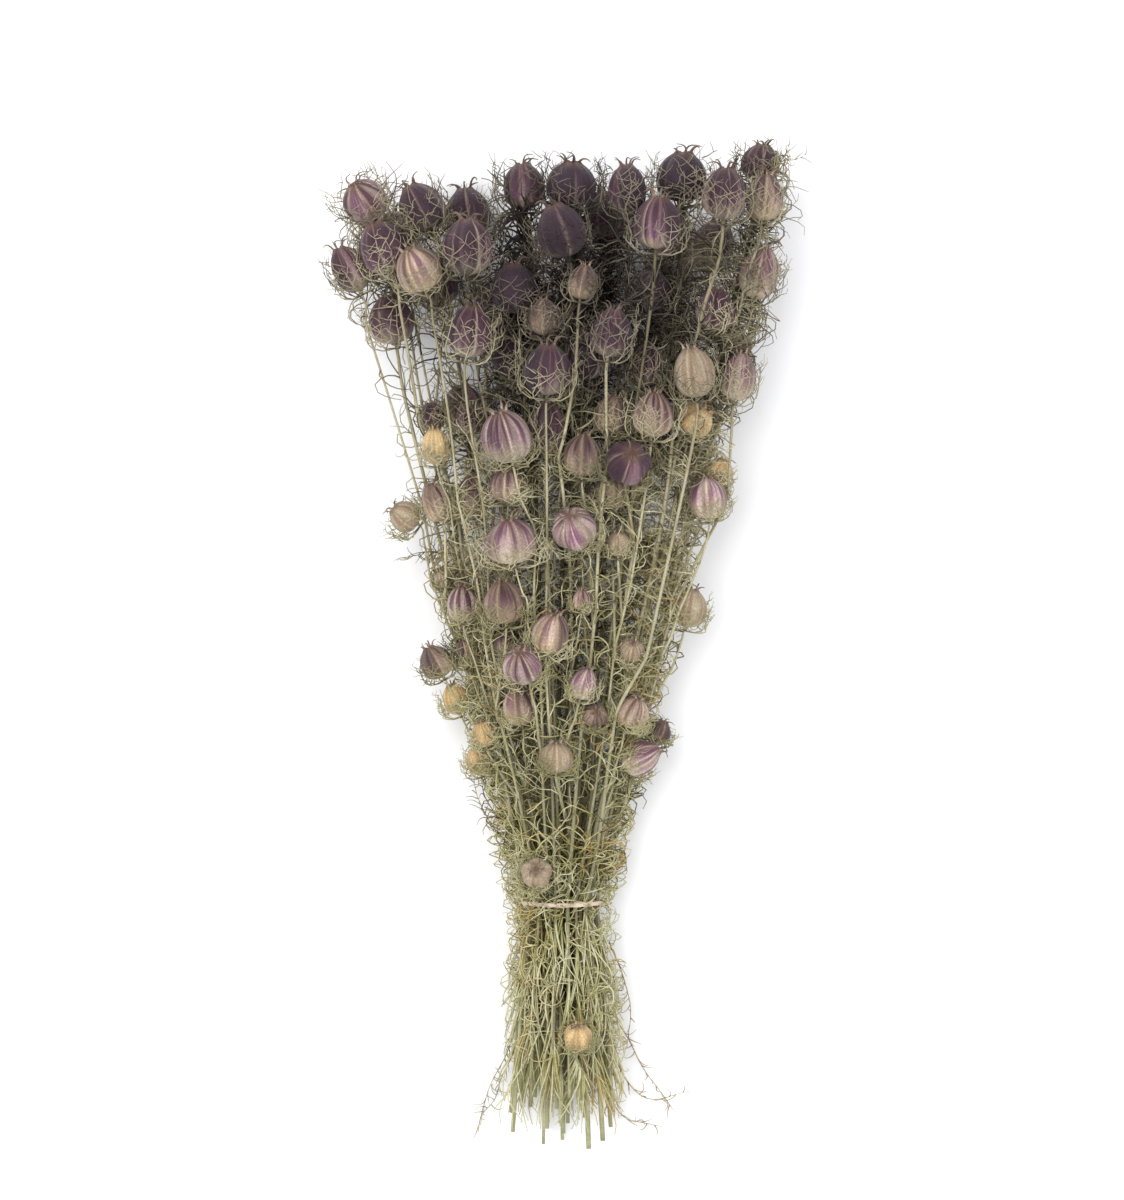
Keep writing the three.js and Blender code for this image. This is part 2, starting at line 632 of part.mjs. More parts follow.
// A bract: from the stalk under the pod, out round it and up past its shoulder.
function bractLine(pod, turn, open) {
  const place = podFrame(pod);
  const [w, l] = [pod.width, pod.length];
  return [
    place(0.1 * w, turn, 0.08 * l),
    place((0.5 + 0.06 * open) * w, turn + 0.1, 0.02 * l),
    place((0.5 + 0.35 * open) * w, turn + 0.4, (1.1 + 0.2 * (1 - open)) * l),
  ];
}
const BRACT_TURNS = 7; // places tried round each pod, and how wide open the bract stands
const OPENINGS = [0.6, 0.2, 1];
for (const stem of stems) {
  stem.threads = [];
  const bracts = stem.pod.width < SMALL_POD ? BRACTS - 1 : BRACTS;
  for (let n = 0; n < BRACT_TURNS && stem.threads.length < bracts; n++) {
    const turn = (2 * Math.PI * n * 3) / BRACT_TURNS;
    const line = OPENINGS.map((open) => bractLine(stem.pod, turn, open)).find((points) =>
      isClear(stem.plant, points.slice(1), THREAD_RADIUS),
    );
    if (!line) continue;
    fill(stem.plant, line, THREAD_RADIUS);
    stem.threads.push(line);
  }
}

// Leaves: threads that leave a main stem and spread outwards and up to the bunch's outside.
const LEAF_PLACES = [-76, -52, -28, 22, 46, 70, 98, 130, 165, 205]; // distances from the band
const MOST_LEAVES = 2; // on each plant
function leafLine(main, y, n) {
  const root = centreAt(main, y);
  const out = at(root.x, 0, root.z - middleZ(y)).normalize();
  const sideways = at(out.z, 0, -out.x).multiplyScalar(2 * spreadOut(n) - 1);
  const reach = 13 + 9 * spreadOut(3 * n + 1);
  return [0, 0.5, 1].map((share) =>
    root
      .clone()
      .addScaledVector(out, reach * share)
      .addScaledVector(sideways, 0.6 * reach * share * share)
      .add(at(0, reach * (0.7 * share + 0.9 * share * share), 0)),
  );
}
mains.forEach((main, i) => {
  let leaves = 0;
  LEAF_PLACES.forEach((_, k) => {
    const y = LEAF_PLACES[(k * 7 + i * 3) % LEAF_PLACES.length];
    if (leaves >= MOST_LEAVES || y > main.pod.entry.y - 30 || y < 10 - main.cut) return;
    const line = leafLine(main, y, i * 11 + k);
    if (!isClear(main, line, THREAD_RADIUS)) return;
    fill(main, line, THREAD_RADIUS);
    main.threads.push(line);
    leaves += 1;
  });
});

const SLIVER = 0.15; // facets finer than this are left out
function plantSolid(main) {
  const own = stems.filter((stem) => stem.plant === main);
  const pieces = own.flatMap((stem) => {
    const sunk = stem.pod.base.clone().addScaledVector(stem.pod.axis, 1.5);
    const line = [...stem.line.slice(0, -1), sunk];
    return [
      tube(line, line.map(() => stem.radius), STEM_SIDES),
      podSolid(stem.pod, podFrame(stem.pod)),
      ...stem.threads.map((thread) =>
        tube(thread, thread.map((_, n) => (n + 1 < thread.length ? THREAD_RADIUS : 0)), 3),
      ),
    ];
  });
  const whole = wasm.Manifold.union(pieces).trimByPlane([0, 0, 1], 0).asOriginal().simplify(SLIVER);
  return whole.decompose().reduce((a, b) => (b.volume() > a.volume() ? b : a));
}

function geometryOf(solid) {
  const { vertProperties, triVerts } = solid.getMesh();
  const geometry = new THREE.BufferGeometry();
  geometry.setAttribute("position", new THREE.BufferAttribute(vertProperties, 3));
  geometry.setIndex(new THREE.BufferAttribute(triVerts, 1));
  return geometry;
}

function bandGeometry() {
  const inner = MAIN_STEM_RADIUS + BAND_CLEARANCE;
  const [a, b] = [BUNDLE_HALF_WIDTH + inner, BUNDLE_HALF_HEIGHT + inner];
  const [outerA, outerB] = [a + BAND_THICKNESS, b + BAND_THICKNESS];
  const outline = new THREE.Shape().absellipse(0, 0, outerA, outerB, 0, 2 * Math.PI);
  outline.holes.push(new THREE.Path().absellipse(0, 0, a, b, 0, 2 * Math.PI, true));
  const extrusion = { depth: BAND_WIDTH, bevelEnabled: false, curveSegments: 32 };
  const ring = new THREE.ExtrudeGeometry(outline, extrusion);
  return ring.translate(0, 0, -BAND_WIDTH / 2).rotateX(Math.PI / 2).translate(0, 0, BAND_MIDDLE_Z);
}

const purple = new THREE.MeshStandardMaterial({ color: "#76566c", roughness: 0.8, metalness: 0 });
const straw = new THREE.MeshStandardMaterial({ color: "#b3a47c", roughness: 0.85, metalness: 0 });
const rubber = new THREE.MeshStandardMaterial({ color: "#d8cbb8", roughness: 0.6, metalness: 0 });
const STRAW_STEMS = [1, 13, 14, 26, 29, 31, 34]; // plants whose main pod has no purple left in it

const bunch = new THREE.Group();
mains.forEach((main, i) => {
  const finish = STRAW_STEMS.includes(i + 1) ? straw : purple;
  const plant = new THREE.Mesh(geometryOf(plantSolid(main)), finish);
  plant.name = "flower_stem_" + String(i + 1).padStart(2, "0");
  bunch.add(plant);
});
const band = new THREE.Mesh(bandGeometry(), rubber);
band.name = "rubber_band";
bunch.add(band);

const outline = new THREE.Box3().setFromObject(bunch, true);
const middle = outline.getCenter(at(0, 0, 0));
bunch.position.set(-middle.x, -middle.y, -outline.min.z);

export default bunch;
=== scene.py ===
import bpy
import numpy as np
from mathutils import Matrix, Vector


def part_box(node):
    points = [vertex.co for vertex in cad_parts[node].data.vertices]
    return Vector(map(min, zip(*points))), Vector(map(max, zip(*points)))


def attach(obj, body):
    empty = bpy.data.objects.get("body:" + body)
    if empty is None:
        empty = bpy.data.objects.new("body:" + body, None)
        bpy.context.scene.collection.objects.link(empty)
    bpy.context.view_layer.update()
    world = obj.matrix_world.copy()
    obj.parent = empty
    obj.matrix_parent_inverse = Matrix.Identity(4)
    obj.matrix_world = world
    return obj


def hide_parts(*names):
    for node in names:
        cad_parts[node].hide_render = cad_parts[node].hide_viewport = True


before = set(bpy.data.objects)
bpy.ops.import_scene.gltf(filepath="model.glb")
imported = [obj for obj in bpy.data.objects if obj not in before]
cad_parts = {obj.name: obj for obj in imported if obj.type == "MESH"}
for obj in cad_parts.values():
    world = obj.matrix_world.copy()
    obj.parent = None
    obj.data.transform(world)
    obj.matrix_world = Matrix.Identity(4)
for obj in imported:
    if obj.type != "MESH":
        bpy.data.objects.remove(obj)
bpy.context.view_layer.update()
every_plant = sorted(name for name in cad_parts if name.startswith("flower_stem"))


# ---- Where every pod and stem lies --------------
# The bunch is laid out in millimetres from the middle of its rubber band, with the heads towards +Y
# and the table at z = 0. The rules are the same as for the solids: pods settle until none overlap,
# then stems bend round them.

GOLDEN_SHARE = 0.6180339887498949
GOLDEN_ANGLE = 2 * np.pi * (1 - GOLDEN_SHARE)
BAND_MIDDLE_Z, ARCH_RISE, ARCH_LENGTH = 19.0, 27.0, 380.0
BUNDLE_HALF = np.array([19.0, 14.5])
FLARE_BELOW, RISE_BELOW = 0.0042, 0.0011
STATION = 5.0  # between the planes in which a stem's track is kept
MAIN_RADIUS, SIDE_RADIUS = 1.1, 0.85
STEM_SPACING, STEM_OFF_TABLE = 3.4, 1.4
POD_SUNK = 0.6  # how far a pod's widest circle may dip below the table before its skin is levelled
MOST_BRANCHES = 2
HEADS_FROM = 240  # distance from the band at which the heads begin

# Across, along, width, length, lean, nod, depth and colour of each pod: L lilac, P purple, D nearly
# black purple, K pinkish, B brownish, C cream, G golden straw.
MAIN_PODS = [
    (-98, 354, 23, 24, -35, 35, 0.3, "L"), (-70, 350, 23, 28, -30, 5, 0.5, "D"),
    (-88, 329, 25, 29, -22, 10, 0.9, "P"), (-105, 320, 19, 27, -28, 0, 0.2, "P"),
    (-73, 319, 24, 25, -25, 25, 1, "K"), (-87, 295, 24, 27, -12, 0, 0.1, "P"),
    (-47, 329, 26, 31, 0, 5, 0.9, "P"), (-46, 287, 23, 29, 8, 8, 1, "P"),
    (-18, 361, 22, 26, -5, 5, 0.3, "P"), (3, 361, 26, 26, 3, 15, 0.4, "D"),
    (0, 337, 25, 30, -18, 8, 0.95, "P"), (-23, 309, 24, 28, -5, 5, 0.5, "D"),
    (10, 311, 15, 19, 10, 0, 1, "K"), (-9, 294, 17, 20, -8, 5, 0.8, "B"),
    (-7, 268, 24, 28, 3, 10, 0.9, "D"), (12, 276, 21, 27, 6, 5, 0.5, "D"),
    (24, 286, 21, 27, 8, 5, 0.95, "D"), (33, 358, 20, 27, -4, 5, 0.7, "P"),
    (47, 341, 24, 29, 4, 8, 1, "P"), (61, 365, 27, 28, 2, 10, 0.5, "D"),
    (80, 356, 23, 29, 3, 5, 0.9, "P"), (100, 374, 20, 21, 5, 10, -0.1, "P"),
    (101, 355, 20, 26, 5, 0, 0.6, "K"), (99, 318, 20, 30, 12, 0, 0.5, "L"),
    (76, 299, 20, 24, 10, 5, 0.6, "P"), (65, 267, 21, 28, -8, 8, 0.95, "C"),
    (88, 266, 18, 27, 10, 0, 0.4, "L"), (87, 285, 13, 16, 8, 0, 0, "L"),
    (67, 244, 19, 18, 50, 15, 0.9, "G"), (45, 246, 21, 25, 4, 8, 0.95, "K"),
    (25, 246, 19, 22, 5, 5, 0.6, "B"), (-8, 239, 20, 29, 3, 8, 0.8, "P"),
    (-27, 235, 26, 29, -14, 15, 1, "L"), (-65, 246, 13, 16, -10, 0, 0.2, "P"),
    (-47, 244, 14, 17, -5, 0, 0.5, "P"), (-84, 338, 23, 27, -15, -5, -0.6, "P"),
    (-48, 352, 24, 28, -8, -5, -1.3, "P"), (22, 350, 24, 27, 3, -5, -0.8, "P"),
    (56, 332, 24, 28, 6, -5, -0.9, "L"), (78, 336, 22, 27, 10, 0, -2, "P"),
    (-33, 305, 22, 27, -5, -5, -0.8, "P"), (6, 300, 24, 28, 0, -5, -1, "D"),
    (-50, 252, 22, 26, -8, -5, -0.9, "P"), (34, 246, 22, 26, 6, -5, -0.95, "K"),
]
SIDE_PODS = [
    (33, 222, 23, 22, 20, 62, 1, "P"), (10, 226, 21, 23, 2, 8, 0.8, "B"),
    (-27, 211, 20, 19, 0, 5, 0.7, "K"), (-63, 231, 15, 20, -5, 5, 0.7, "G"),
    (-79, 196, 17, 17, -55, 10, 0.3, "C"), (-63, 203, 16, 22, -18, 0, 0.5, "K"),
    (-45, 206, 17, 22, -5, 5, 0.5, "B"), (25, 208, 19, 19, 0, 0, 0.5, "C"),
    (6, 190, 23, 22, -25, 50, 1, "L"), (-25, 183, 27, 25, -8, 12, 1, "L"),
    (28, 182, 13, 14, 0, 10, 0.8, "C"), (79, 219, 15, 15, 25, 5, 0.2, "G"),
    (73, 205, 20, 23, -4, 5, 0.6, "L"), (64, 150, 18, 22, 12, 0, 0.2, "C"),
    (10, 154, 10, 12, 3, 10, 0.9, "K"), (-29, 153, 21, 24, -5, 8, 1, "K"),
    (-50, 152, 17, 20, -3, 5, 0.5, "L"), (-59, 165, 11, 11, -20, 5, 0.1, "C"),
    (-6, 137, 20, 23, 12, 20, 1, "K"), (-29, 134, 15, 15, -5, 10, 0.4, "B"),
    (-19, 122, 20, 21, -18, 45, 1, "L"), (-62, 123, 17, 19, -28, 5, 0.3, "B"),
    (-50, 127, 11, 15, -12, 5, 0.4, "B"), (35, 129, 13, 14, 10, 45, 0.8, "C"),
    (11, 112, 14, 18, 15, 10, 0.9, "L"), (-21, 101, 18, 22, -8, 5, 0.8, "K"),
    (17, 96, 13, 12, 5, 60, 0.9, "B"), (36, 97, 18, 18, 22, 10, 0.6, "K"),
    (-54, 104, 14, 18, -18, 5, 0.3, "G"), (39, 75, 17, 23, 62, 5, 0.8, "L"),
    (49, 87, 14, 14, 28, 10, 0.1, "B"), (-40, 86, 12, 15, -15, 5, 0.4, "G"),
    (-42, 73, 13, 17, -10, 5, 0.6, "G"), (-3, 75, 18, 17, 0, 5, 1, "C"),
    (-13, 17, 16, 15, 0, 70, 1.35, "C"), (8, -65, 15, 15, 0, 30, 1.4, "G"),
    (-62, 313, 20, 24, -10, 0, -0.2, "P"), (45, 308, 21, 25, 5, 0, 0.1, "D"),
    (-25, 276, 20, 24, -5, 0, 0.2, "D"), (42, 272, 20, 24, 5, 0, 0.2, "P"),
    (62, 228, 20, 23, 10, 0, -0.7, "L"), (44, 176, 18, 21, 8, 0, -0.8, "K"),
    (-38, 152, 17, 20, -8, 0, -0.9, "C"), (34, 116, 15, 18, 8, 0, -0.8, "C"),
    (-16, 98, 15, 18, -3, 0, -1.2, "C"),
]
rows = np.array([row[:7] for row in MAIN_PODS + SIDE_PODS], dtype=float)
pod_colour = [row[7] for row in MAIN_PODS + SIDE_PODS]
pods, mains = len(rows), len(MAIN_PODS)
in_heads = rows[:, 1] > HEADS_FROM
pod_width, pod_length = rows[:, 2], 0.9 * rows[:, 3]
pod_reach = (pod_width + pod_length) / 4


def middle_height(y):
    """The bunch's middle rises from the band along a parabola that levels out at the heads."""
    return BAND_MIDDLE_Z + ARCH_RISE * (1 - (1 - np.clip(y / ARCH_LENGTH, 0, 1)) ** 2)


def first_centres():
    """A pod's depth, from 1 on top to -1 below, times the elliptic half height of the bunch there."""
    x, y, width, _, _, _, depth = rows.T
    outside = 0.55 * np.clip((330 - y) / 60, 0, 1)
    bulge = np.sqrt(np.maximum(0.06, 1 - (x / (24 + 0.245 * np.maximum(y, 0))) ** 2))
    stems_half = 15.6 + np.where(y > 0, 0.048 * y, -RISE_BELOW * BUNDLE_HALF[1] * y)
    z = middle_height(y) + depth * bulge * (stems_half + outside * width / 2)
    return np.stack([x, y, np.maximum(z, width / 2 - POD_SUNK)], axis=1)


turn, tip = np.radians(rows[:, 4]), np.radians(rows[:, 5])
pod_axis = np.stack([np.sin(turn) * np.cos(tip), np.cos(turn) * np.cos(tip), np.sin(tip)], axis=1)


def settle(home, rounds=240, gap=0.9):
    """Balls round each pod, its horns and two places on its stalk push each other apart, mostly up or
    down, while a pull that fades draws each pod home."""
    centre = home.copy()
    radii = np.stack([pod_reach, 0.3 * pod_width, np.full(pods, 1.6), np.full(pods, 1.6)], axis=1)
    above = np.where(home[:, None, 2] >= home[None, :, 2], 6.0, -6.0)
    earlier = np.triu(np.ones((pods, pods), dtype=bool), 1)
    meetings = [(0, 0), (0, 1), (1, 0), (0, 2), (2, 0), (0, 3), (3, 0), (1, 2), (2, 1)]
    for step in range(rounds):
        move = (home - centre) * (0.1 * (1 - step / rounds)) * np.array([1, 1, 0.2])
        stalk = centre - 0.7 * pod_length[:, None] * pod_axis
        horns = centre + 0.66 * pod_length[:, None] * pod_axis
        balls = [centre, horns, stalk, stalk + np.array([0, -7, 0])]
        for a, b in meetings:
            apart = balls[a][:, None] - balls[b][None]
            lacking = radii[:, a][:, None] + radii[:, b][None] + gap - np.linalg.norm(apart, axis=2)
            apart[:, :, 2] += above
            size = np.maximum(np.linalg.norm(apart, axis=2), 1e-9)
            share = np.where(earlier & (lacking > 0), 0.5 * lacking / size, 0)
            push = apart * share[:, :, None]
            move += push.sum(axis=1) - push.sum(axis=0)
        centre += move
        centre[:, 2] = np.maximum(centre[:, 2], pod_width / 2 - POD_SUNK)
    return centre


pod_centre = settle(first_centres())
pod_base = pod_centre - 0.5 * pod_length[:, None] * pod_axis
neck = pod_base - 0.2 * pod_length[:, None] * pod_axis
entry = neck - 0.1 * pod_length[:, None] * pod_axis
entry[:, 1] -= 0.36 * pod_length
entry[:, 2] = np.maximum(entry[:, 2], MAIN_RADIUS)


def bundle_places():
    """An even golden-angle spread over the bundle's ellipse, swapped until no two stems cross."""
    order = np.arange(mains)
    r, angle = np.sqrt((order + 0.5) / mains), order * GOLDEN_ANGLE
    places = BUNDLE_HALF * np.stack([r * np.cos(angle), r * np.sin(angle)], axis=1)
    middle = np.array([0, BAND_MIDDLE_Z])
    goals = (entry[:mains][:, [0, 2]] - middle) * (ARCH_LENGTH / entry[:mains, 1])[:, None]
    swapped = True
    while swapped:
        swapped = False
        for i in range(mains):
            for j in range(i + 1, mains):
                if np.dot(places[i] - places[j], goals[i] - goals[j]) < 0:
                    places[[i, j]] = places[[j, i]]
                    swapped = True
    return places + middle


def rounded(value):
    return int(np.floor(value + 0.5))


places = bundle_places()
stations = 1 + int(max(entry[:, 1]) // STATION)
track = np.full((pods, stations, 2), np.nan)
first = np.zeros(pods, dtype=int)
last = np.maximum(np.floor((entry[:, 1] - STATION / 2) / STATION).astype(int), 0)


def centre_at(plant, y):
    """A main stem's middle at y: its own track above the band, a straight flare below it."""
    if y >= 0:
        k = min(max(rounded(y / STATION), 0), last[plant])
        return np.array([track[plant, k, 0], k * STATION, track[plant, k, 1]])
    x, z = places[plant]
    rise = 1 - RISE_BELOW * y
    return np.array([x * (1 - FLARE_BELOW * y), y, BAND_MIDDLE_Z + (z - BAND_MIDDLE_Z) * rise])


def lay_straight(stem, start):
    """A stem's first track: a straight line from its start to the place where it meets its pod."""
    end = entry[stem]
    first[stem] = rounded(start[1] / STATION)
    last[stem] = max(int(np.floor((end[1] - STATION / 2) / STATION)), first[stem])
    for k in range(max(first[stem], 0), last[stem] + 1):
        share = min(max((k * STATION - start[1]) / (end[1] - start[1]), 0), 1)
        track[stem, k] = start[[0, 2]] + (end - start)[[0, 2]] * share


def rods_apart(a, b, c, d):
    """Least distance between the stretch a-b and each of the stretches c-d."""
    u, v, w = b - a, d - c, a - c
    uu, uv, vv = max(u @ u, 1e-9), v @ u, np.maximum((v * v).sum(axis=1), 1e-9)
    uw, vw = w @ u, (v * w).sum(axis=1)
    s = np.clip((uv * vw - vv * uw) / np.maximum(uu * vv - uv * uv, 1e-9), 0, 1)
    t = np.clip((uv * s + vw) / vv, 0, 1)
    s = np.clip((uv * t - uw) / uu, 0, 1)
    return np.linalg.norm(w + u * s[:, None] - v * t[:, None], axis=1)


for i in range(mains):
    lay_straight(i, np.array([places[i, 0], 0.0, places[i, 1]]))
main_cut = 88 + 38 * ((np.arange(1, mains + 1) * GOLDEN_SHARE) % 1) ** 2
host = np.full(pods, -1)
stretch_of, stretch_a, stretch_b = [], [], []
for i in range(mains):
    ends = [centre_at(i, -main_cut[i]), centre_at(i, 0), entry[i]]
    stretch_of += [i, i]
    stretch_a += ends[:2]
    stretch_b += ends[1:]
for i in range(mains, pods):
    y = entry[i, 1] - min(max(0.3 * entry[i, 1], 18), 60)
    start_y = max(rounded(y / STATION), 1) * STATION if entry[i, 1] > 0 else y
    of, a, b = np.array(stretch_of), np.array(stretch_a), np.array(stretch_b)
    best, best_cost = -1, np.inf
    for plant in range(mains):
        out_of_reach = last[plant] * STATION <= y + 20 or start_y <= 5 - main_cut[plant]
        if np.sum(host == plant) >= MOST_BRANCHES or out_of_reach:
            continue
        start = centre_at(plant, start_y)
        near = rods_apart(start, entry[i], a, b) < 0.6 * STEM_SPACING
        met = set(of[near & (of != plant) & (host[of] != plant)])
        cost = np.linalg.norm(start - entry[i]) + 30 * len(met)
        if cost < best_cost:
            best, best_cost = plant, cost
    host[i] = best
    start = centre_at(best, start_y)
    lay_straight(i, start)
    stretch_of.append(i)
    stretch_a.append(start)
    stretch_b.append(entry[i])
side_start = {i: stretch_a[2 * mains + i - mains] for i in range(mains, pods)}


def bend_clear(rounds=140, smooth_rounds=120, to_pod=2.4):
    """In each plane across the bunch a stem is pushed out of the circles that other pods cut there and
    away from other stems, and between rounds each stem is smoothed along its length."""
    k, index = np.arange(stations), np.arange(pods)
    begun = np.maximum(first, 0)[:, None]
    on = (k >= begun) & (k <= last[:, None])
    ring = (pod_reach[:, None] + to_pod) ** 2 - (k * STATION - pod_centre[:, 1, None]) ** 2
    ring = np.sqrt(np.maximum(ring, 0))
    held = k <= begun
    joined = (host[:, None] == index) | (host == index[:, None])
    begin = np.maximum(begun, begun.T) + 2 * joined
    meet = on[:, None] & on[None] & (k >= begin[:, :, None])
    meet &= ~np.eye(pods, dtype=bool)[:, :, None]
    moving = last > 0
    for step in range(rounds):
        away = track[:, :, None] - pod_centre[None, None][..., [0, 2]]
        size = np.hypot(away[..., 0], away[..., 1])
        size[size == 0] = 1e-6
        lacking = ring.T[None] - size
        lacking[(lacking <= 0) | ~on[:, :, None] | (ring.T[None] <= 0)] = 0
        lacking[index, :, index] = 0
        push = (away * (lacking / size)[..., None]).sum(axis=2)
        away = track[:, None] - track[None]
        size = np.hypot(away[..., 0], away[..., 1])
        size[size == 0] = 1e-6
        lacking = 0.5 * (STEM_SPACING - size)
        lacking[~meet | ~(lacking > 0)] = 0
        push += np.nansum(away * (lacking / size)[..., None], axis=1)
        push[~on | held] = 0
        track[:] = track + push
        low = on & ~held
        track[..., 1] = np.where(low, np.maximum(track[..., 1], STEM_OFF_TABLE), track[..., 1])
        for j in range(pods):
            apart = entry - pod_centre[j]
            lacking = pod_reach[j] + to_pod - np.linalg.norm(apart, axis=1)
            apart[:, 1] = 0
            use = moving & (index != j) & (lacking > 0)
            scale = np.where(use, lacking / np.maximum(np.linalg.norm(apart, axis=1), 1e-9), 0)
            entry[:] = entry + apart * scale[:, None]
        entry[:, 2] = np.where(moving, np.maximum(entry[:, 2], STEM_OFF_TABLE), entry[:, 2])
        if step >= smooth_rounds:
            continue
        final = track[index, last]
        toward = (final + neck[:, [0, 2]]) / 2 - entry[:, [0, 2]]
        entry[:, [0, 2]] += 0.3 * np.where(moving[:, None], toward, 0)
        following = np.concatenate([track[:, 1:], track[:, -1:]], axis=1)
        following[index, last] = entry[:, [0, 2]]
        preceding = np.concatenate([track[:, :1], track[:, :-1]], axis=1)
        inner = on & (k > begun)
        smooth = 0.4 * ((preceding + following) / 2 - track)
        track[:] = np.where(inner[..., None], track + smooth, track)
        for i in range(mains, pods):
            if first[i] >= 0:
                track[i, first[i]] = track[host[i], first[i]]


bend_clear()
low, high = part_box("rubber_band")
TO_FRAME = np.array([(low[0] + high[0]) / 2, (low[1] + high[1]) / 2, 0.0])


def in_frame(points):
    """From the layout's millimetres to metres in the frame."""
    return points / 1000 + TO_FRAME


def off_middle(points):
    """How far out a place is, as a part of the tangle's half width and half height there."""
    y = points[..., 1]
    marks = [-120, -60, 0, 40, 90, 230, 290, 380]
    wide = np.interp(y, marks, [31, 27, 24, 31, 40, 70, 90, 112])
    high = np.interp(y, marks, [19, 19, 17.5, 20, 18.5, 26, 33, 36])
    return np.stack([points[..., 0] / wide, 0 * y, (points[..., 2] - middle_height(y)) / high], axis=-1)


def inner_shade(points):
    """1 deep inside the bunch, 0 on its outside and at its cut ends; it paints shade deep inside."""
    inside = np.clip((0.98 - np.linalg.norm(off_middle(points), axis=-1)) / 0.6, 0, 1)
    return inside * np.clip((points[..., 1] + 115) / 80, 0, 1)


def heads_shade_bell(points):
    """A bell of painted shade over the middle of the heads, which also tinges the threads with purple."""
    return np.exp(-(((points[..., 0] - 12) / 55) ** 2) - ((points[..., 1] - 318) / 62) ** 2)


# ---- Stems --------------------------------------
# Dried flower stems, straw-coloured and a little greener near their cut ends. Each is a thin tube
# with fine ribs along it, straight for most of its length, and its side branches grow out of it.

STEM_POINTS, STEM_SIDES = 46, 8
STEM_RADIUS = np.where(host < 0, MAIN_RADIUS, SIDE_RADIUS)
rng = np.random.default_rng(11)


def curve_through(points, count):
    """A Catmull-Rom curve: between two points it is the cubic whose slopes come from their
    neighbours. It is read at evenly spaced lengths."""
    ends = np.vstack([2 * points[0] - points[1], points, 2 * points[-1] - points[-2]])
    t = np.linspace(0, 1, 9)[:-1, None, None]
    a, b, c, d = ends[:-3], ends[1:-2], ends[2:-1], ends[3:]
    fine = b + 0.5 * t * (c - a + t * (2 * a - 5 * b + 4 * c - d + t * (3 * (b - c) + d - a)))
    fine = np.vstack([fine.transpose(1, 0, 2).reshape(-1, points.shape[1]), points[-1:]])
    along = np.concatenate([[0], np.cumsum(np.linalg.norm(np.diff(fine, axis=0), axis=1))])
    at = np.linspace(0, along[-1], count)
    return np.stack([np.interp(at, along, fine[:, n]) for n in range(points.shape[1])], axis=1)


def tubes(lines, radii, sides, across, flutes=0.0):
    """A ring of corners round each point of each line, square to the line, and flat ends. Every other
    corner is drawn in by the flutes. lines is (n, k, 3), radii (n, k) and across (n, 3)."""
    n, k = radii.shape
    along = np.gradient(lines, axis=1)
    along /= np.maximum(np.linalg.norm(along, axis=2, keepdims=True), 1e-9)
    side = across[:, None] - (across[:, None] * along).sum(axis=2, keepdims=True) * along
    side /= np.maximum(np.linalg.norm(side, axis=2, keepdims=True), 1e-9)
    up = np.cross(along, side)
    corner = np.arange(sides)
    angle = 2 * np.pi * corner / sides
    reach = radii[..., None] * (1 - flutes * (corner % 2))
    ring = side[:, :, None] * np.cos(angle)[:, None] + up[:, :, None] * np.sin(angle)[:, None]
    vertices = lines[:, :, None] + ring * reach[..., None]
    start = (np.arange(n)[:, None] * k + np.arange(k - 1)) * sides
    near = start[..., None] + corner
    far = start[..., None] + np.roll(corner, -1)
    quads = np.stack([near, far, far + sides, near + sides], axis=-1).reshape(-1, 4)
    root = np.arange(n)[:, None] * k * sides + corner[::-1]
    top = (np.arange(n)[:, None] * k + k - 1) * sides + corner
    return vertices.reshape(-1, 3), quads, np.vstack([root, top])


def piece(name, vertices, faces, values, finish, *nodes):
    """A mesh at the origin from vertices in metres, faces as arrays of corner numbers, and a dict of
    one number a vertex for the material to read."""
    mesh = bpy.data.meshes.new(name)
    corners = np.concatenate([part.ravel() for part in faces])
    sizes = np.concatenate([np.full(len(part), part.shape[1]) for part in faces])
    mesh.vertices.add(len(vertices))
    mesh.vertices.foreach_set("co", vertices.astype(np.float32).ravel())
    mesh.loops.add(len(corners))
    mesh.loops.foreach_set("vertex_index", corners.astype(np.int32))
    mesh.polygons.add(len(sizes))
    mesh.polygons.foreach_set("loop_start", (np.cumsum(sizes) - sizes).astype(np.int32))
    mesh.polygons.foreach_set("use_smooth", sizes == 4)
    mesh.update(calc_edges=True)
    for key, numbers in values.items():
        mesh.attributes.new(key, "FLOAT", "POINT").data.foreach_set("value", numbers.astype(np.float32))
    mesh.materials.append(finish)
    made = bpy.data.objects.new(name, mesh)
    bpy.context.collection.objects.link(made)
    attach(made, "root")
    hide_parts(*nodes)
    return made


def sRGB(red, green, blue):
    """A colour as painted on screen, from 0 to 255, as the light it stands for."""
    c = np.array([red, green, blue]) / 255
    return (*np.where(c <= 0.04045, c / 12.92, ((c + 0.055) / 1.055) ** 2.4), 1.0)


def node(tree, kind, **settings):
    made = tree.nodes.new(kind)
    for key, value in settings.items():
        setattr(made, key, value)
    return made


def feed(tree, socket, value):
    if isinstance(value, bpy.types.NodeSocket):
        tree.links.new(value, socket)
    else:
        socket.default_value = value


def mixed(tree, share, low, high):
    """One colour fading into another."""
    made = node(tree, "ShaderNodeMix", data_type="RGBA")
    for socket, value in zip([made.inputs[0], made.inputs[6], made.inputs[7]], [share, low, high]):
        feed(tree, socket, value)
    return made.outputs[2]


def sums(tree, operation, *values, clamp=False):
    made = node(tree, "ShaderNodeMath", operation=operation, use_clamp=clamp)
    for socket, value in zip(made.inputs, values):
        feed(tree, socket, value)
    return made.outputs[0]


def times(tree, *values, clamp=False):
    return sums(tree, "MULTIPLY", *values, clamp=clamp)


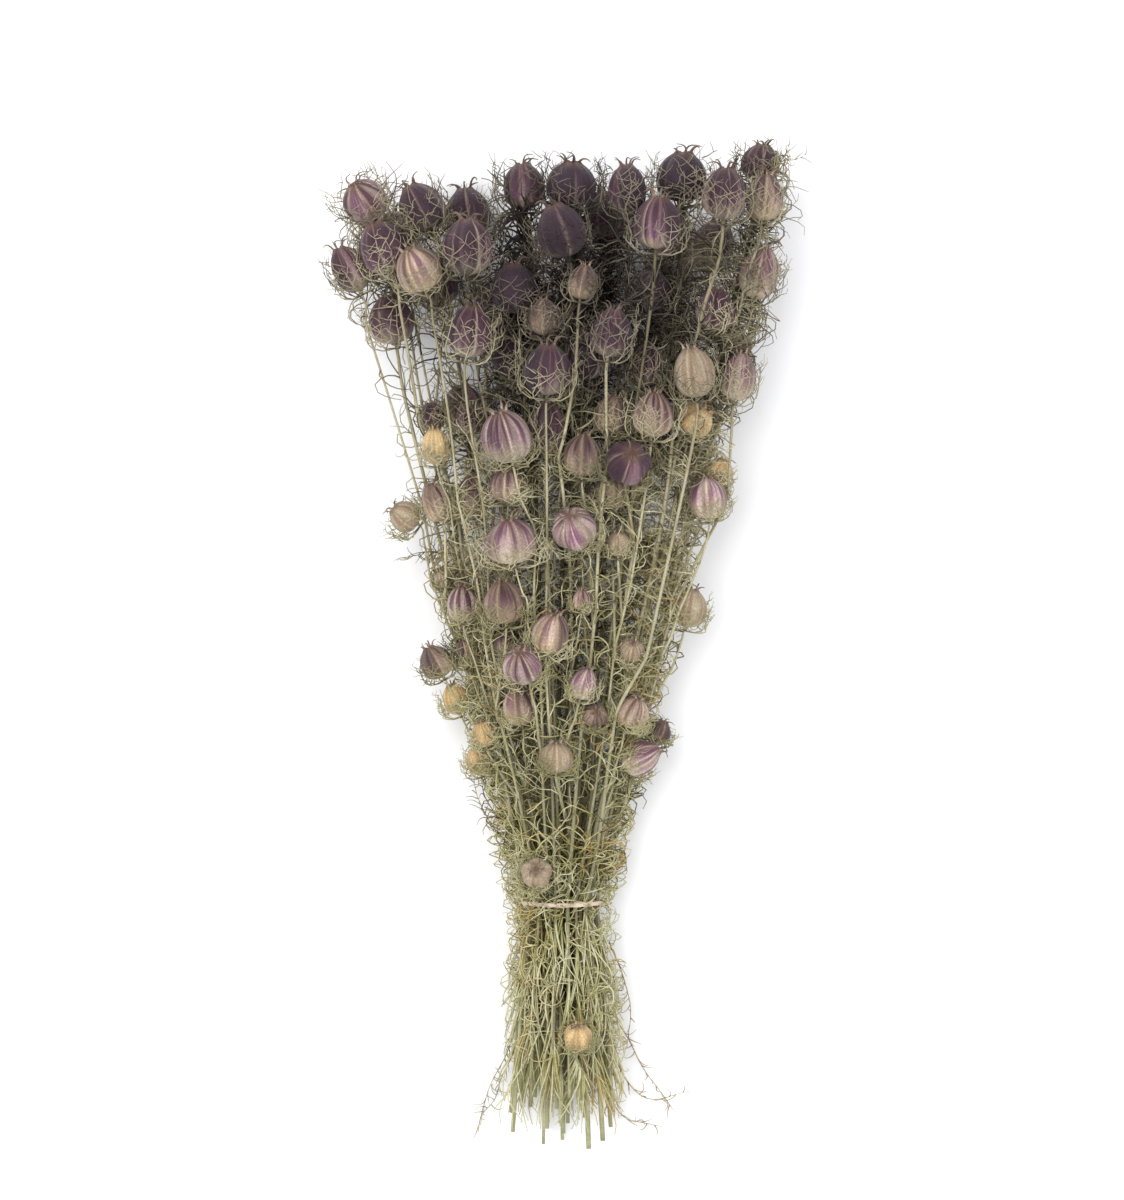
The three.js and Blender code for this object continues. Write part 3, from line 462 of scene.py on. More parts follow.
def spread(tree, value, low, high, to_low=0.0, to_high=1.0):
    """value between low and high becomes a smooth step between to_low and to_high."""
    made = node(tree, "ShaderNodeMapRange", interpolation_type="SMOOTHSTEP")
    for socket, number in zip(made.inputs, [value, low, high, to_low, to_high]):
        feed(tree, socket, number)
    return made.outputs[0]


def reads(tree, name):
    return node(tree, "ShaderNodeAttribute", attribute_name=name).outputs["Fac"]


def finish_of(name, roughness):
    made = bpy.data.materials.new(name)
    made.use_nodes = True
    shader = made.node_tree.nodes["Principled BSDF"]
    shader.inputs["Roughness"].default_value = roughness
    shader.inputs["Specular IOR Level"].default_value = 0.35
    return made, made.node_tree, shader


def bumped(tree, shader, height, distance, strength=1.0):
    made = node(tree, "ShaderNodeBump")
    made.inputs["Strength"].default_value = strength
    made.inputs["Distance"].default_value = distance
    tree.links.new(height, made.inputs["Height"])
    tree.links.new(made.outputs["Normal"], shader.inputs["Normal"])


def dried_grain():
    """Node group: blotches and fine grain of dried plant skin, from noise on Object coordinates."""
    group = bpy.data.node_groups.new("Dried grain", "ShaderNodeTree")
    sockets = {"Blotch Scale": "INPUT", "Grain Scale": "INPUT", "Blotches": "OUTPUT", "Grain": "OUTPUT"}
    for name, way in sockets.items():
        group.interface.new_socket(name, in_out=way, socket_type="NodeSocketFloat")
    taken, given = node(group, "NodeGroupInput"), node(group, "NodeGroupOutput")
    where = node(group, "ShaderNodeTexCoord").outputs["Object"]
    for n, detail in enumerate([2.0, 4.0]):
        noise = node(group, "ShaderNodeTexNoise")
        noise.inputs["Detail"].default_value = detail
        group.links.new(where, noise.inputs["Vector"])
        group.links.new(taken.outputs[n], noise.inputs["Scale"])
        group.links.new(spread(group, noise.outputs["Fac"], 0.3, 0.7), given.inputs[n])
    return group


grain_group = dried_grain()


def grain(tree, blotch_scale, grain_scale):
    made = node(tree, "ShaderNodeGroup", node_tree=grain_group)
    made.inputs[0].default_value = blotch_scale
    made.inputs[1].default_value = grain_scale
    return made.outputs["Blotches"], made.outputs["Grain"]


stem_finish, tree, shader = finish_of("Dried stem", 0.62)
blotches, fine = grain(tree, 60, 900)
straw = mixed(tree, blotches, sRGB(168, 160, 126), sRGB(200, 192, 162))
green = mixed(tree, blotches, sRGB(150, 156, 112), sRGB(190, 192, 148))
skin = mixed(tree, reads(tree, "green"), straw, green)
skin = mixed(tree, times(tree, fine, 0.35), skin, sRGB(128, 112, 82))
# The shade attribute mixes stems towards dark olive: partly each stem's own random tone, partly painted
# shade.
tree.links.new(mixed(tree, reads(tree, "shade"), skin, sRGB(74, 66, 46)), shader.inputs["Base Color"])
bumped(tree, shader, fine, 0.0002, 0.5)


def stem_line(i):
    """The points of a stem from its cut end, or from its host, to the base of its pod."""
    k = np.arange(max(first[i], 0), last[i] + 1)
    points = np.stack([track[i, k, 0], k * STATION, track[i, k, 1]], axis=1)
    if host[i] < 0:
        points = np.vstack([centre_at(i, -main_cut[i]), centre_at(i, -main_cut[i] / 2), points])
    elif first[i] < 0:
        points = np.vstack([side_start[i], points[:0] if last[i] < 0 else points])
    sunk = pod_base[i] + 0.06 * pod_length[i] * pod_axis[i]
    return np.vstack([points, entry[i], neck[i], sunk])


stem_lines = np.array([curve_through(stem_line(i), STEM_POINTS) for i in range(pods)])
share = np.linspace(0, 1, STEM_POINTS)
stem_radii = STEM_RADIUS[:, None] * (1.05 - 0.33 * share) * rng.uniform(0.72, 1.12, (pods, 1))
stem_radii *= 1 + 0.03 * np.sin(40 * share + 6 * rng.random((pods, 1)))
vertices, quads, caps = tubes(stem_lines, stem_radii, STEM_SIDES, np.tile([1.0, 0, 0.2], (pods, 1)), 0.16)
green = np.clip(0.95 - (stem_lines[..., 1] + 60) / 300, 0, 1) * rng.uniform(0.5, 1.0, (pods, 1))
# shade: each stem's own random tone, plus painted shade deep in the bunch, towards the heads and under their
# bell.
shade = rng.uniform(0, 0.55, (pods, 1)) ** 2 + 0.8 * inner_shade(stem_lines)
shade += np.clip((stem_lines[..., 1] - 220) / 220, 0, 0.45) + 0.35 * heads_shade_bell(stem_lines)
values = {"green": np.repeat(green.ravel(), STEM_SIDES), "shade": np.repeat(shade.ravel(), STEM_SIDES)}
piece("stems", in_frame(vertices), [quads, caps], values, stem_finish, *every_plant)


# ---- Seed pods ----------------------------------
# Inflated, papery capsules of five chambers. Each chamber's wall bulges between pale ribs, is purple
# or straw-coloured with fine veins, and the ribs run up into five dry horns round the closed crown.

POD_AROUND, POD_UP = 50, 20
HORN_POINTS, HORN_SIDES = 7, 5
POD_PROFILE = np.array([
    (0, 0), (0.012, 0.18), (0.045, 0.45), (0.11, 0.7), (0.22, 0.91), (0.36, 0.99), (0.5, 1.0), (0.64, 0.94),
    (0.77, 0.8), (0.87, 0.62), (0.94, 0.44), (0.98, 0.3), (0.985, 0.2), (0.97, 0.1), (0.95, 0),
])

first_side = np.array([0, 0, 1.0]) - pod_axis[:, 2:] * pod_axis
steep = np.linalg.norm(first_side, axis=1) < 0.2
first_side[steep] = (np.array([1.0, 0, 0]) - pod_axis[:, :1] * pod_axis)[steep]
first_side /= np.linalg.norm(first_side, axis=1, keepdims=True)
second_side = np.cross(pod_axis, first_side)
on_table = pod_centre[:, 2] < pod_width / 2
pod_roll = np.where(on_table, 0.8 * np.pi, np.arange(pods) * GOLDEN_ANGLE)


def round_pod(radius, angle, height):
    """Places in millimetres round each pod's own axis: the arrays' first index is the pod."""
    shape = (pods,) + (1,) * (np.ndim(angle) - 1)
    angle = angle + pod_roll.reshape(shape)
    out = [v.reshape(shape + (3,)) for v in (pod_base, first_side, second_side, pod_axis)]
    across = (radius * np.cos(angle))[..., None] * out[1] + (radius * np.sin(angle))[..., None] * out[2]
    return out[0] + across + (height + 0 * angle)[..., None] * out[3]


rng = np.random.default_rng(5)
profile = curve_through(POD_PROFILE, POD_UP)
height, radius = profile[None, :, 0, None], profile[None, :, 1, None]
angle = np.broadcast_to(2 * np.pi * np.arange(POD_AROUND) / POD_AROUND, (pods, POD_UP, POD_AROUND))
chamber = angle * 5 / (2 * np.pi)
from_rib = 2 * np.minimum(chamber % 1, 1 - chamber % 1)
lobed = np.sin(np.pi * np.clip(height, 0.02, 0.98)) ** 0.6
swell = np.repeat(rng.uniform(-0.05, 0.03, (pods, 5)), POD_AROUND // 5, axis=1)[:, None]
dome = 1 - np.sqrt(1 - (1 - from_rib) ** 2)
bulge = 1 - 0.24 * lobed * dome + swell * np.sin(np.pi * from_rib / 2) * lobed
bulge += 0.06 * lobed * np.exp(-((from_rib / 0.1) ** 2))
leans, waves = rng.uniform(0, 2 * np.pi, (2, pods, 1, 1))
bulge *= 1 + 0.035 * np.sin(angle + leans) + 0.02 * np.sin(3 * angle + waves + 5 * height)
radius = radius * bulge * (pod_width / 2)[:, None, None]
crown = np.clip((profile[:, 0] - 0.9) / 0.06, 0, 1)[None, :, None] * (profile[:, 1] < 0.5)[None, :, None]
height = height + 0.035 * crown * np.exp(-((from_rib / 0.3) ** 2)) * (profile[:, 1] > 0)[None, :, None]
skin_points = round_pod(radius, angle, height * pod_length[:, None, None])
skin_points[..., 2] = np.maximum(skin_points[..., 2], 0.02)

walls = skin_points[:, 1:-1].reshape(pods, -1, 3)
walls = np.concatenate([walls, skin_points[:, :1, 0], skin_points[:, -1:, 0]], axis=1)
rings, per_pod = POD_UP - 2, walls.shape[1]
around, after = np.arange(POD_AROUND), np.roll(np.arange(POD_AROUND), -1)
ring_start = np.arange(rings - 1)[:, None] * POD_AROUND
near, far = ring_start + around, ring_start + after
pod_quads = np.stack([near, far, far + POD_AROUND, near + POD_AROUND], axis=-1).reshape(-1, 4)
top_ring = (rings - 1) * POD_AROUND
pod_tips = np.vstack([
    np.stack([after, around, np.full(POD_AROUND, per_pod - 2)], axis=1),
    np.stack([top_ring + around, top_ring + after, np.full(POD_AROUND, per_pod - 1)], axis=1),
])


def of_wall(numbers):
    """The same order for one number a point: the rings, then the base and the crown's middle."""
    numbers = np.broadcast_to(numbers, (pods, POD_UP, POD_AROUND))
    inner = numbers[:, 1:-1].reshape(pods, -1)
    return np.concatenate([inner, numbers[:, :1, 0], numbers[:, -1:, 0]], axis=1)


rib = of_wall(np.exp(-((from_rib / 0.17) ** 2)))
# Painted shade in the creases either side of each rib.
crease_shade = of_wall(np.exp(-(((from_rib - 0.3) / 0.16) ** 2)) * lobed)
up = of_wall(height)
at_crown = np.clip((0.62 - profile[:, 1]) / 0.4, 0, 1) * (profile[:, 0] > 0.9)
crown_skin = of_wall(at_crown[None, :, None])
east, north = of_wall(np.cos(angle)), of_wall(np.sin(angle))

share = np.linspace(0, 1, HORN_POINTS)
horns = np.arange(5)[None, :, None]
curl = rng.uniform(0.6, 1.7, (pods, 5, 1))
twist = rng.uniform(-0.9, 0.9, (pods, 5, 1))
horn_radius = (0.24 + 0.16 * share + curl * 0.3 * share**2) * (pod_width / 2)[:, None, None]
horn_rise = 0.2 * np.sin(share * (0.5 + 0.28 * (curl - 0.6)) * np.pi) * rng.uniform(0.7, 1.25, (pods, 5, 1))
horn_height = (0.93 + horn_rise) * pod_length[:, None, None]
horn_angle = 2 * np.pi * horns / 5 + twist * share**2
horn_lines = round_pod(horn_radius, horn_angle, horn_height).reshape(-1, HORN_POINTS, 3)
thick = (0.085 - 0.068 * share**0.8) * (pod_width / 2)[:, None, None] * rng.uniform(0.8, 1.15, (pods, 5, 1))
horn_vertices, horn_quads, horn_caps = tubes(
    horn_lines, thick.reshape(-1, HORN_POINTS), HORN_SIDES, np.repeat(first_side, 5, axis=0) + 0.3, 0.25)
horn_vertices = horn_vertices.reshape(pods, -1, 3)
horn_share = np.tile(np.repeat(share, HORN_SIDES), 5)

PIGMENT = {  # purple, darkness and warmth of each colour of pod
    "D": (1.0, 0.92, 0.15), "P": (1.0, 0.62, 0.2), "L": (0.74, 0.08, 0.05), "K": (0.66, 0.24, 0.45),
    "B": (0.6, 0.66, 0.5), "C": (0.3, 0.48, 0.35), "G": (0.1, 0.15, 1.0),
}
tint_and_shade = np.array([PIGMENT[c] for c in pod_colour]) + rng.uniform(-0.07, 0.07, (pods, 3))
# Painted shade: pods deep inside the bunch and under the heads' bell are made darker.
tint_and_shade[:, 1] += 0.2 * inner_shade(pod_centre) + 0.25 * heads_shade_bell(pod_centre)
# Painted light and shade: each lobe of a purple pod is shifted by its own random amount, as light from one
# side gives.
lobe_shade = np.repeat(rng.uniform(-0.34, 0.34, (pods, 5)), POD_AROUND // 5, axis=1)[:, None]
lobe_shade = of_wall(lobe_shade * (tint_and_shade[:, 0] > 0.4)[:, None, None] * np.ones((1, POD_UP, 1)))

pod_finish, tree, shader = finish_of("Papery pod skin", 0.55)
shader.inputs["Sheen Weight"].default_value = 0.1
shader.inputs["Sheen Roughness"].default_value = 0.45
blotches, fine = grain(tree, 110, 1400)
veins = node(tree, "ShaderNodeTexVoronoi", feature="DISTANCE_TO_EDGE")
veins.inputs["Scale"].default_value = 620
tree.links.new(node(tree, "ShaderNodeTexCoord").outputs["Object"], veins.inputs["Vector"])
vein = spread(tree, veins.outputs["Distance"], 0.0, 0.16, 1.0, 0.0)
up_pod, rib_line, purple, dark = (reads(tree, key) for key in ["up", "rib", "purple", "dark"])
round_it = node(tree, "ShaderNodeCombineXYZ")
length_wise = sums(tree, "MULTIPLY_ADD", up_pod, 0.22, reads(tree, "pod"))
for socket, value in zip(round_it.inputs, [reads(tree, "east"), reads(tree, "north"), length_wise]):
    tree.links.new(value, socket)
streaks = node(tree, "ShaderNodeTexNoise")
streaks.inputs["Scale"].default_value = 3.6
streaks.inputs["Detail"].default_value = 4
tree.links.new(round_it.outputs[0], streaks.inputs["Vector"])
streak = spread(tree, streaks.outputs["Fac"], 0.36, 0.64)
cream = mixed(tree, reads(tree, "warm"), sRGB(232, 222, 196), sRGB(234, 204, 142))
cream = mixed(tree, times(tree, streak, 0.45), cream, sRGB(188, 150, 106))
lilac = mixed(tree, streak, sRGB(186, 150, 164), sRGB(128, 84, 110))
maroon = mixed(tree, streak, sRGB(104, 54, 74), sRGB(54, 24, 36))
depth = sums(tree, "ADD", dark, spread(tree, up_pod, 0.15, 0.85, -0.35, 0.5), clamp=True)
panel = mixed(tree, depth, lilac, maroon)
pale_rib = sums(tree, "MULTIPLY_ADD", dark, -0.14, 0.52)
middle = sums(tree, "SUBTRACT", 1.0, times(tree, rib_line, pale_rib))
full_at = sums(tree, "MULTIPLY_ADD", purple, -0.9, 1.3)
reach = times(tree, spread(tree, up_pod, 0.0, full_at, 0.05, 1.0), middle)
reach = times(tree, reach, spread(tree, streak, 0.0, 1.0, 0.7, 1.2))
amount = times(tree, reach, times(tree, purple, 1.25), clamp=True)
skin = mixed(tree, amount, cream, panel)
line = mixed(tree, purple, sRGB(150, 118, 80), sRGB(70, 40, 56))
skin = mixed(tree, times(tree, vein, 0.3), skin, line)
# Painted shade: the creases are darkened towards the vein colour.
skin = mixed(tree, times(tree, reads(tree, "crease_shade"), 0.72), skin, line)
# The dark attribute blackens the panels: partly the pod's own near-black purple, partly the painted shade
# added to it.
blackened = times(tree, times(tree, dark, middle), 0.8, clamp=True)
skin = mixed(tree, blackened, skin, sRGB(46, 27, 40))
skin = mixed(tree, times(tree, reads(tree, "crown"), 0.75), skin, sRGB(104, 76, 58))
horn_skin = mixed(tree, blotches, sRGB(62, 48, 46), sRGB(122, 104, 84))
skin = mixed(tree, spread(tree, up_pod, 1.0, 1.14), skin, horn_skin)
tree.links.new(skin, shader.inputs["Base Color"])
relief = sums(tree, "ADD", times(tree, vein, 0.5), times(tree, fine, 0.4))
bumped(tree, shader, sums(tree, "MULTIPLY_ADD", streak, 1.2, relief), 0.0005, 0.7)

horn_pod = horn_vertices.shape[1]
horn_walls = horn_quads.reshape(pods, -1, 4)[0]
horn_ends = horn_caps.reshape(2, pods, 5, HORN_SIDES)[:, 0].reshape(-1, HORN_SIDES)
on_walls = {"rib": rib, "crease_shade": crease_shade, "up": up, "crown": crown_skin, "east": east, "north": north}
on_horns = {"rib": 1 - 0.5 * horn_share, "up": 0.97 + 0.3 * horn_share}
numbers = np.column_stack([tint_and_shade, np.arange(pods)])
for name, chosen in [("seed_pods_heads", in_heads), ("seed_pods_lower", ~in_heads)]:
    which = np.flatnonzero(chosen)
    offset = np.arange(len(which))[:, None, None]
    horn_start = len(which) * per_pod
    vertices = np.vstack([walls[which].reshape(-1, 3), horn_vertices[which].reshape(-1, 3)])
    faces = [
        (pod_quads + offset * per_pod).reshape(-1, 4),
        (pod_tips + offset * per_pod).reshape(-1, 3),
        (horn_walls + offset * horn_pod + horn_start).reshape(-1, 4),
        (horn_ends + offset * horn_pod + horn_start).reshape(-1, HORN_SIDES),
    ]
    values = {}
    for key, wall in on_walls.items():
        horn = np.tile(on_horns.get(key, 0 * horn_share), len(which))
        values[key] = np.concatenate([wall[which].ravel(), horn])
    for key, number in zip(["purple", "dark", "warm", "pod"], numbers.T):
        values[key] = np.concatenate([np.repeat(number[which], per_pod), np.repeat(number[which], horn_pod)])
    # The lobes' painted light and shade is added to the walls' darkness.
    values["dark"][:horn_start] += lobe_shade[which].ravel()
    piece(name, in_frame(vertices), faces, values, pod_finish, *every_plant)


# ---- Bracts -------------------------------------
# Under each pod sits a ruff of thread-like bracts. They arch out round the pod, fork again and again,
# and wrap it in a loose net that rises past the horns. They are dry, wiry and straw to olive brown.

BRACTS, BRACT_POINTS, FORKS, FORK_POINTS, TWIG_POINTS = 7, 9, 6, 5, 4
rng = np.random.default_rng(23)


def wavy(lines, size, seed):
    """Each line is bent by two sine waves of its own, growing from nothing at its root."""
    rng = np.random.default_rng(seed)
    share = np.linspace(0, 1, lines.shape[-2])[:, None]
    phase = rng.uniform(0, 2 * np.pi, (2,) + lines.shape[:-2] + (1, 3))
    pace = rng.uniform(3, 9, lines.shape[:-2] + (1, 1))
    slow = np.sin(pace * share + phase[0]) - np.sin(phase[0])
    quick = np.sin(2.3 * pace * share + phase[1]) - np.sin(phase[1])
    return lines + size * (slow + 0.5 * quick) * share


def pod_surface(height):
    """A pod's radius at a height, both as shares of its size, without its lobes."""
    heights = [0, 0.045, 0.11, 0.22, 0.36, 0.5, 0.64, 0.77, 0.87, 1, 1.2]
    radii = [0, 0.45, 0.7, 0.91, 0.99, 1, 0.94, 0.8, 0.62, 0.35, 0.3]
    return np.interp(height, heights, radii)


half, length = (pod_width / 2)[:, None, None, None], pod_length[:, None, None, None]
share = np.linspace(0, 1, BRACT_POINTS)
shape = (pods, BRACTS, 1, 1)
openness = rng.uniform(0, 1, shape)
rise = rng.uniform(0.9, 1.45, shape) * np.where(in_heads, 1, 0.75)[:, None, None, None]
bract_turn = 2 * np.pi * (np.arange(BRACTS)[None, :, None, None] + rng.uniform(-0.35, 0.35, shape)) / BRACTS
upward = np.cos(bract_turn + pod_roll[:, None, None, None]) * first_side[:, 2, None, None, None]
netted = in_heads & ~np.isin(pod_colour, ["C", "G"])
rubbed_off = np.where(netted, 0.3, 0.7)[:, None, None, None] * rng.uniform(0.4, 1.1, shape)
rise *= 1 - rubbed_off * np.clip(upward, 0, 1)
bract_twist = rng.uniform(-0.5, 0.5, shape)


def bract_at(s):
    """Angle, height and distance from the axis of a bract at share s of its length: it leaves the
    stalk level, swings out past the pod's side and then follows it up."""
    height = -0.09 + 0.02 * s + rise * np.maximum(s - 0.12, 0) ** 1.15
    out = np.sin(np.clip(s / 0.42, 0, 1) * np.pi / 2) ** 0.8 * (1.12 + 0.22 * openness)
    out = out * (1 - (0.32 - 0.45 * openness) * np.clip((s - 0.55) / 0.45, 0, 1) ** 1.5)
    return bract_turn + bract_twist * s, height, out


def clear_of_pod(height, out):
    """A bract's distance from the axis is at least the pod's radius there and a little more."""
    return np.maximum(out, (pod_surface(height) + 0.07) * (height > 0.02) + 0.03)


turned, risen, out = bract_at(share)
out = clear_of_pod(risen, out)
main_lines = round_pod(out * half, turned, risen * length)
fork_from = (0.24 + 0.12 * np.arange(FORKS))[None, None, :, None]
t = np.linspace(0, 1, FORK_POINTS)
start = bract_at(fork_from)
side = np.where(np.arange(FORKS) % 2 == 0, 1, -1)[None, None, :, None]
fork_shape = (pods, BRACTS, FORKS, 1)
fork_swing = rng.uniform(0.35, 0.8, fork_shape)
fork_rise = rng.uniform(0.12, 0.42, fork_shape)
fork_out = rng.uniform(-0.08, 0.3, fork_shape)
fork_angle = start[0] + side * fork_swing * np.sin(t * 1.4)
fork_height = start[1] + fork_rise * t
fork_dist = clear_of_pod(fork_height, start[2] + fork_out * t**1.6)
fork_lines = round_pod(fork_dist * half, fork_angle, fork_height * length)
t2 = np.linspace(0, 1, TWIG_POINTS)
twig_swing = -side * rng.uniform(0.25, 0.6, fork_shape)
twig_angle = fork_angle[..., 2:3] + twig_swing * t2
twig_height = fork_height[..., 2:3] + rng.uniform(0.1, 0.32, fork_shape) * t2
twig_dist = clear_of_pod(twig_height, fork_dist[..., 2:3] + rng.uniform(-0.05, 0.3, fork_shape) * t2**1.5)
twig_lines = round_pod(twig_dist * half, twig_angle, twig_height * length)


def threads(groups, thickness):
    """Three-sided tubes along groups of lines, each (..., k, 3), tapering to a third at their tips."""
    vertices, faces, total = [], [], 0
    for lines, scale in groups:
        lines = lines.reshape(-1, lines.shape[-2], 3).copy()
        lines[..., 2] = np.maximum(lines[..., 2], 0.45)
        radii = thickness * np.reshape(scale, (-1, 1)) * (1 - 0.66 * np.linspace(0, 1, lines.shape[1]))
        radii = radii + np.zeros((len(lines), 1))
        overall = lines[:, -1] - lines[:, 0]
        across = np.cross(overall, rng.normal(size=overall.shape))
        v, q, c = tubes(lines, radii, 3, across)
        vertices.append(v)
        faces += [q + total, c + total]
        total += len(v)
    return np.vstack(vertices), faces


thread_finish, tree, shader = finish_of("Dried threads", 0.72)
blotches, fine = grain(tree, 38, 700)
# The tone attribute sets each thread's place on the ramp; the pieces lower it as painted shade deep in the
# bunch and among the heads.
tone = sums(tree, "ADD", reads(tree, "tone"), spread(tree, blotches, 0.0, 1.0, -0.14, 0.14), clamp=True)
ramp = node(tree, "ShaderNodeValToRGB")
thread_colours = [(34, 29, 22), (86, 80, 48), (148, 142, 90), (184, 180, 124), (206, 202, 162)]
for place, colour in zip([0.0, 0.25, 0.5, 0.75, 1.0], thread_colours):
    stop = ramp.color_ramp.elements.new(place) if 0 < place < 1 else ramp.color_ramp.elements[-int(place)]
    stop.color = sRGB(*colour)
tree.links.new(tone, ramp.inputs["Fac"])
skin = mixed(tree, reads(tree, "gold"), ramp.outputs["Color"], sRGB(196, 160, 88))
skin = mixed(tree, reads(tree, "mauve"), skin, mixed(tree, tone, sRGB(34, 28, 28), sRGB(196, 184, 158)))
skin = mixed(tree, times(tree, fine, 0.25), skin, sRGB(84, 72, 50))
tree.links.new(skin, shader.inputs["Base Color"])
bumped(tree, shader, fine, 0.0001, 0.3)

for name, chosen in [("bracts_heads", in_heads), ("bracts_lower", ~in_heads)]:
    groups = [
        (wavy(main_lines[chosen], 1.3, 31), 1.0),
        (wavy(fork_lines[chosen], 1.2, 32), 0.8),
        (wavy(twig_lines[chosen], 1.1, 33), 0.66),
    ]
    vertices, faces = threads(groups, 0.42)
    counts = [lines.reshape(-1, 3).shape[0] * 3 for lines, _ in groups]
    pod_tone = rng.uniform(0.5, 0.92, chosen.sum())
    tone = np.concatenate([np.repeat(pod_tone, n // chosen.sum()) for n in counts])
    # Painted shade: bract tone is lowered deep inside the bunch and under the heads' bell.
    deep, heads_shade = inner_shade(vertices), heads_shade_bell(vertices)
    tone = (tone - 0.46 * heads_shade) * (1 - 0.65 * deep)
    mauve = np.clip(0.45 + (vertices[:, 1] - 150) / 500 + 0.4 * heads_shade, 0.3, 1)
    values = {"tone": tone, "gold": 0 * tone, "mauve": mauve}
    piece(name, in_frame(vertices), faces, values, thread_finish, *every_plant)


# ---- Thread leaves ------------------------------
# The leaves are cut into threads as fine as the bracts. Dried, they are a tangle of olive, straw and
# golden wisps on every stem, thickest round the band. Painted shade darkens them deep inside the
# bunch and most of all among the heads.

WISP_POINTS = 4
rng = np.random.default_rng(77)


def unit(v):
    return v / np.maximum(np.linalg.norm(v, axis=-1, keepdims=True), 1e-9)


def wander(start, heading, steps, step, curl=0.25, pull=3.0):
    """A walk from each start. At every step its heading turns about an axis of its own, drifts a
    little at random, and is drawn back where the walk has left the bunch."""
    spin = rng.normal(0, curl, start.shape)
    places, headings = [start], [heading]
    for _ in range(steps - 1):
        out = off_middle(places[-1])
        astray = np.maximum(np.linalg.norm(out, axis=1, keepdims=True) - 1, 0)
        turned = headings[-1] + np.cross(spin, headings[-1]) - pull * astray * out
        headings.append(unit(turned + rng.normal(0, 0.7 * curl, start.shape)))
        places.append(places[-1] + step * headings[-1])
    return np.stack(places, axis=1), np.stack(headings, axis=1)


def leafy(name, starts, points, step, wisps, thickness, tone_range, lean=0.6, curl=0.25):
    """Leaves from the starts: each a walk outwards and along the bunch, with wisps that fork from
    it."""
    count = len(starts)
    heading = unit(0.7 * unit(off_middle(starts)) + np.array([0, lean, 0]) + rng.normal(0, 0.6, starts.shape))
    lines, ahead = wander(starts, heading, points, step, curl)
    groups = [(lines, 1.0)]
    for w in range(wisps):
        at = 1 + w * (points - 3) // wisps
        turned = unit(ahead[:, at] + 0.7 * unit(np.cross(ahead[:, at], rng.normal(size=starts.shape))))
        groups.append((wander(lines[:, at], turned, WISP_POINTS, 0.85 * step)[0], 0.8))
    groups = [(lines, scale * (1 + 0.5 * inner_shade(starts))) for lines, scale in groups]
    vertices, faces = threads(groups, thickness)
    patches = np.sin(starts @ np.array([[0.11, 0.05, 0.16], [0.07, 0.13, -0.1]]).T).sum(axis=1)
    leaf_tone = rng.uniform(*tone_range, count)
    leaf_gold = np.clip(0.5 * patches, 0, 1) * rng.uniform(0, 1.2, count) ** 2
    corners = [lines.shape[1] * 3 for lines, _ in groups]
    # Painted shade and light: lit lowers the tone deep inside and among the heads and lightens threads a
    # little above the band; gold patches fade deep inside.
    deep, heads_shade = inner_shade(vertices), heads_shade_bell(vertices)
    tone = np.concatenate([np.repeat(leaf_tone, n) for n in corners])
    gold = np.concatenate([np.repeat(leaf_gold, n) for n in corners]) * (1 - deep)
    mauve = np.clip((vertices[:, 1] - 40) / 380, 0, 0.6) + 0.5 * heads_shade
    lit = 1 - (0.45 + 0.4 * heads_shade) * deep + 0.2 * np.exp(-(((vertices[:, 1] - 70) / 45) ** 2))
    values = {"tone": (tone - 0.55 * heads_shade) * lit, "gold": gold * (mauve < 0.4), "mauve": mauve}
    piece(name, in_frame(vertices), faces, values, thread_finish, *every_plant)


def along_stems(y_low, y_high, count, weight):
    """Random places on the stems between two heights, more of them where the weight is greater."""
    places = stem_lines[:, :-1].reshape(-1, 3)
    to_next = np.diff(stem_lines, axis=1).reshape(-1, 3)
    x, y = places[:, 0], places[:, 1]
    bare = (x < -58) & (y > 175) & (y < 300)
    chance = weight(places) * (y > y_low) * (y < y_high) * np.where(bare, 0.07, 1)
    chance *= np.linalg.norm(to_next, axis=1)
    chosen = rng.choice(len(places), count, p=chance / chance.sum())
    return places[chosen] + to_next[chosen] * rng.random((count, 1))


def outside(places):
    """The outer stems, and most of all where the leaves hide the band."""
    over_band = np.exp(-((places[:, 1] / 10) ** 2)) * (np.abs(places[:, 0] - 10) > 9)
    return (0.12 + np.linalg.norm(off_middle(places), axis=1) ** 3) * (1 + 2.5 * over_band)


def underneath(places):
    """The lower half of the bunch, and more for each stem near the heads, where fewer stems reach."""
    x, y = places[:, 0], places[:, 1]
    crowded = 1 + 2.5 * np.clip((y - 255) / 70, 0, 1) + 3 * heads_shade_bell(places)
    crowded += 3 * np.exp(-(((x + 25) / 28) ** 2) - ((y - 335) / 35) ** 2)
    crowded += 3 * np.exp(-(((x - 6) / 26) ** 2) - ((y - 185) / 52) ** 2)
    return crowded * (np.exp(-((off_middle(places)[:, 2] + 0.35) / 0.5) ** 2) + 0.05)


leafy("leaves_cut_end", along_stems(-78, 26, 640, outside), 12, 2.9, 2, 0.38, (0.65, 1.2))
leafy("bare_stalks", along_stems(-88, -8, 520, outside), 8, 4.6, 0, 0.6, (0.8, 1.3), -4, 0.04)
leafy("leaves_middle", along_stems(10, 225, 1250, outside), 12, 3.1, 2, 0.34, (0.6, 1.25))
leafy("leaves_heads", along_stems(200, 372, 1050, underneath), 8, 3.2, 3, 0.34, (0.3, 0.95))
# The leaves under the stems and under the heads get low tones: painted shade for the lower half of the bunch.
leafy("leaves_under_stems", along_stems(10, 235, 1500, underneath), 9, 4.2, 0, 0.44, (0.25, 0.75))
leafy("leaves_under_heads", along_stems(225, 372, 2150, underneath), 9, 4.2, 0, 0.46, (0.15, 0.65))


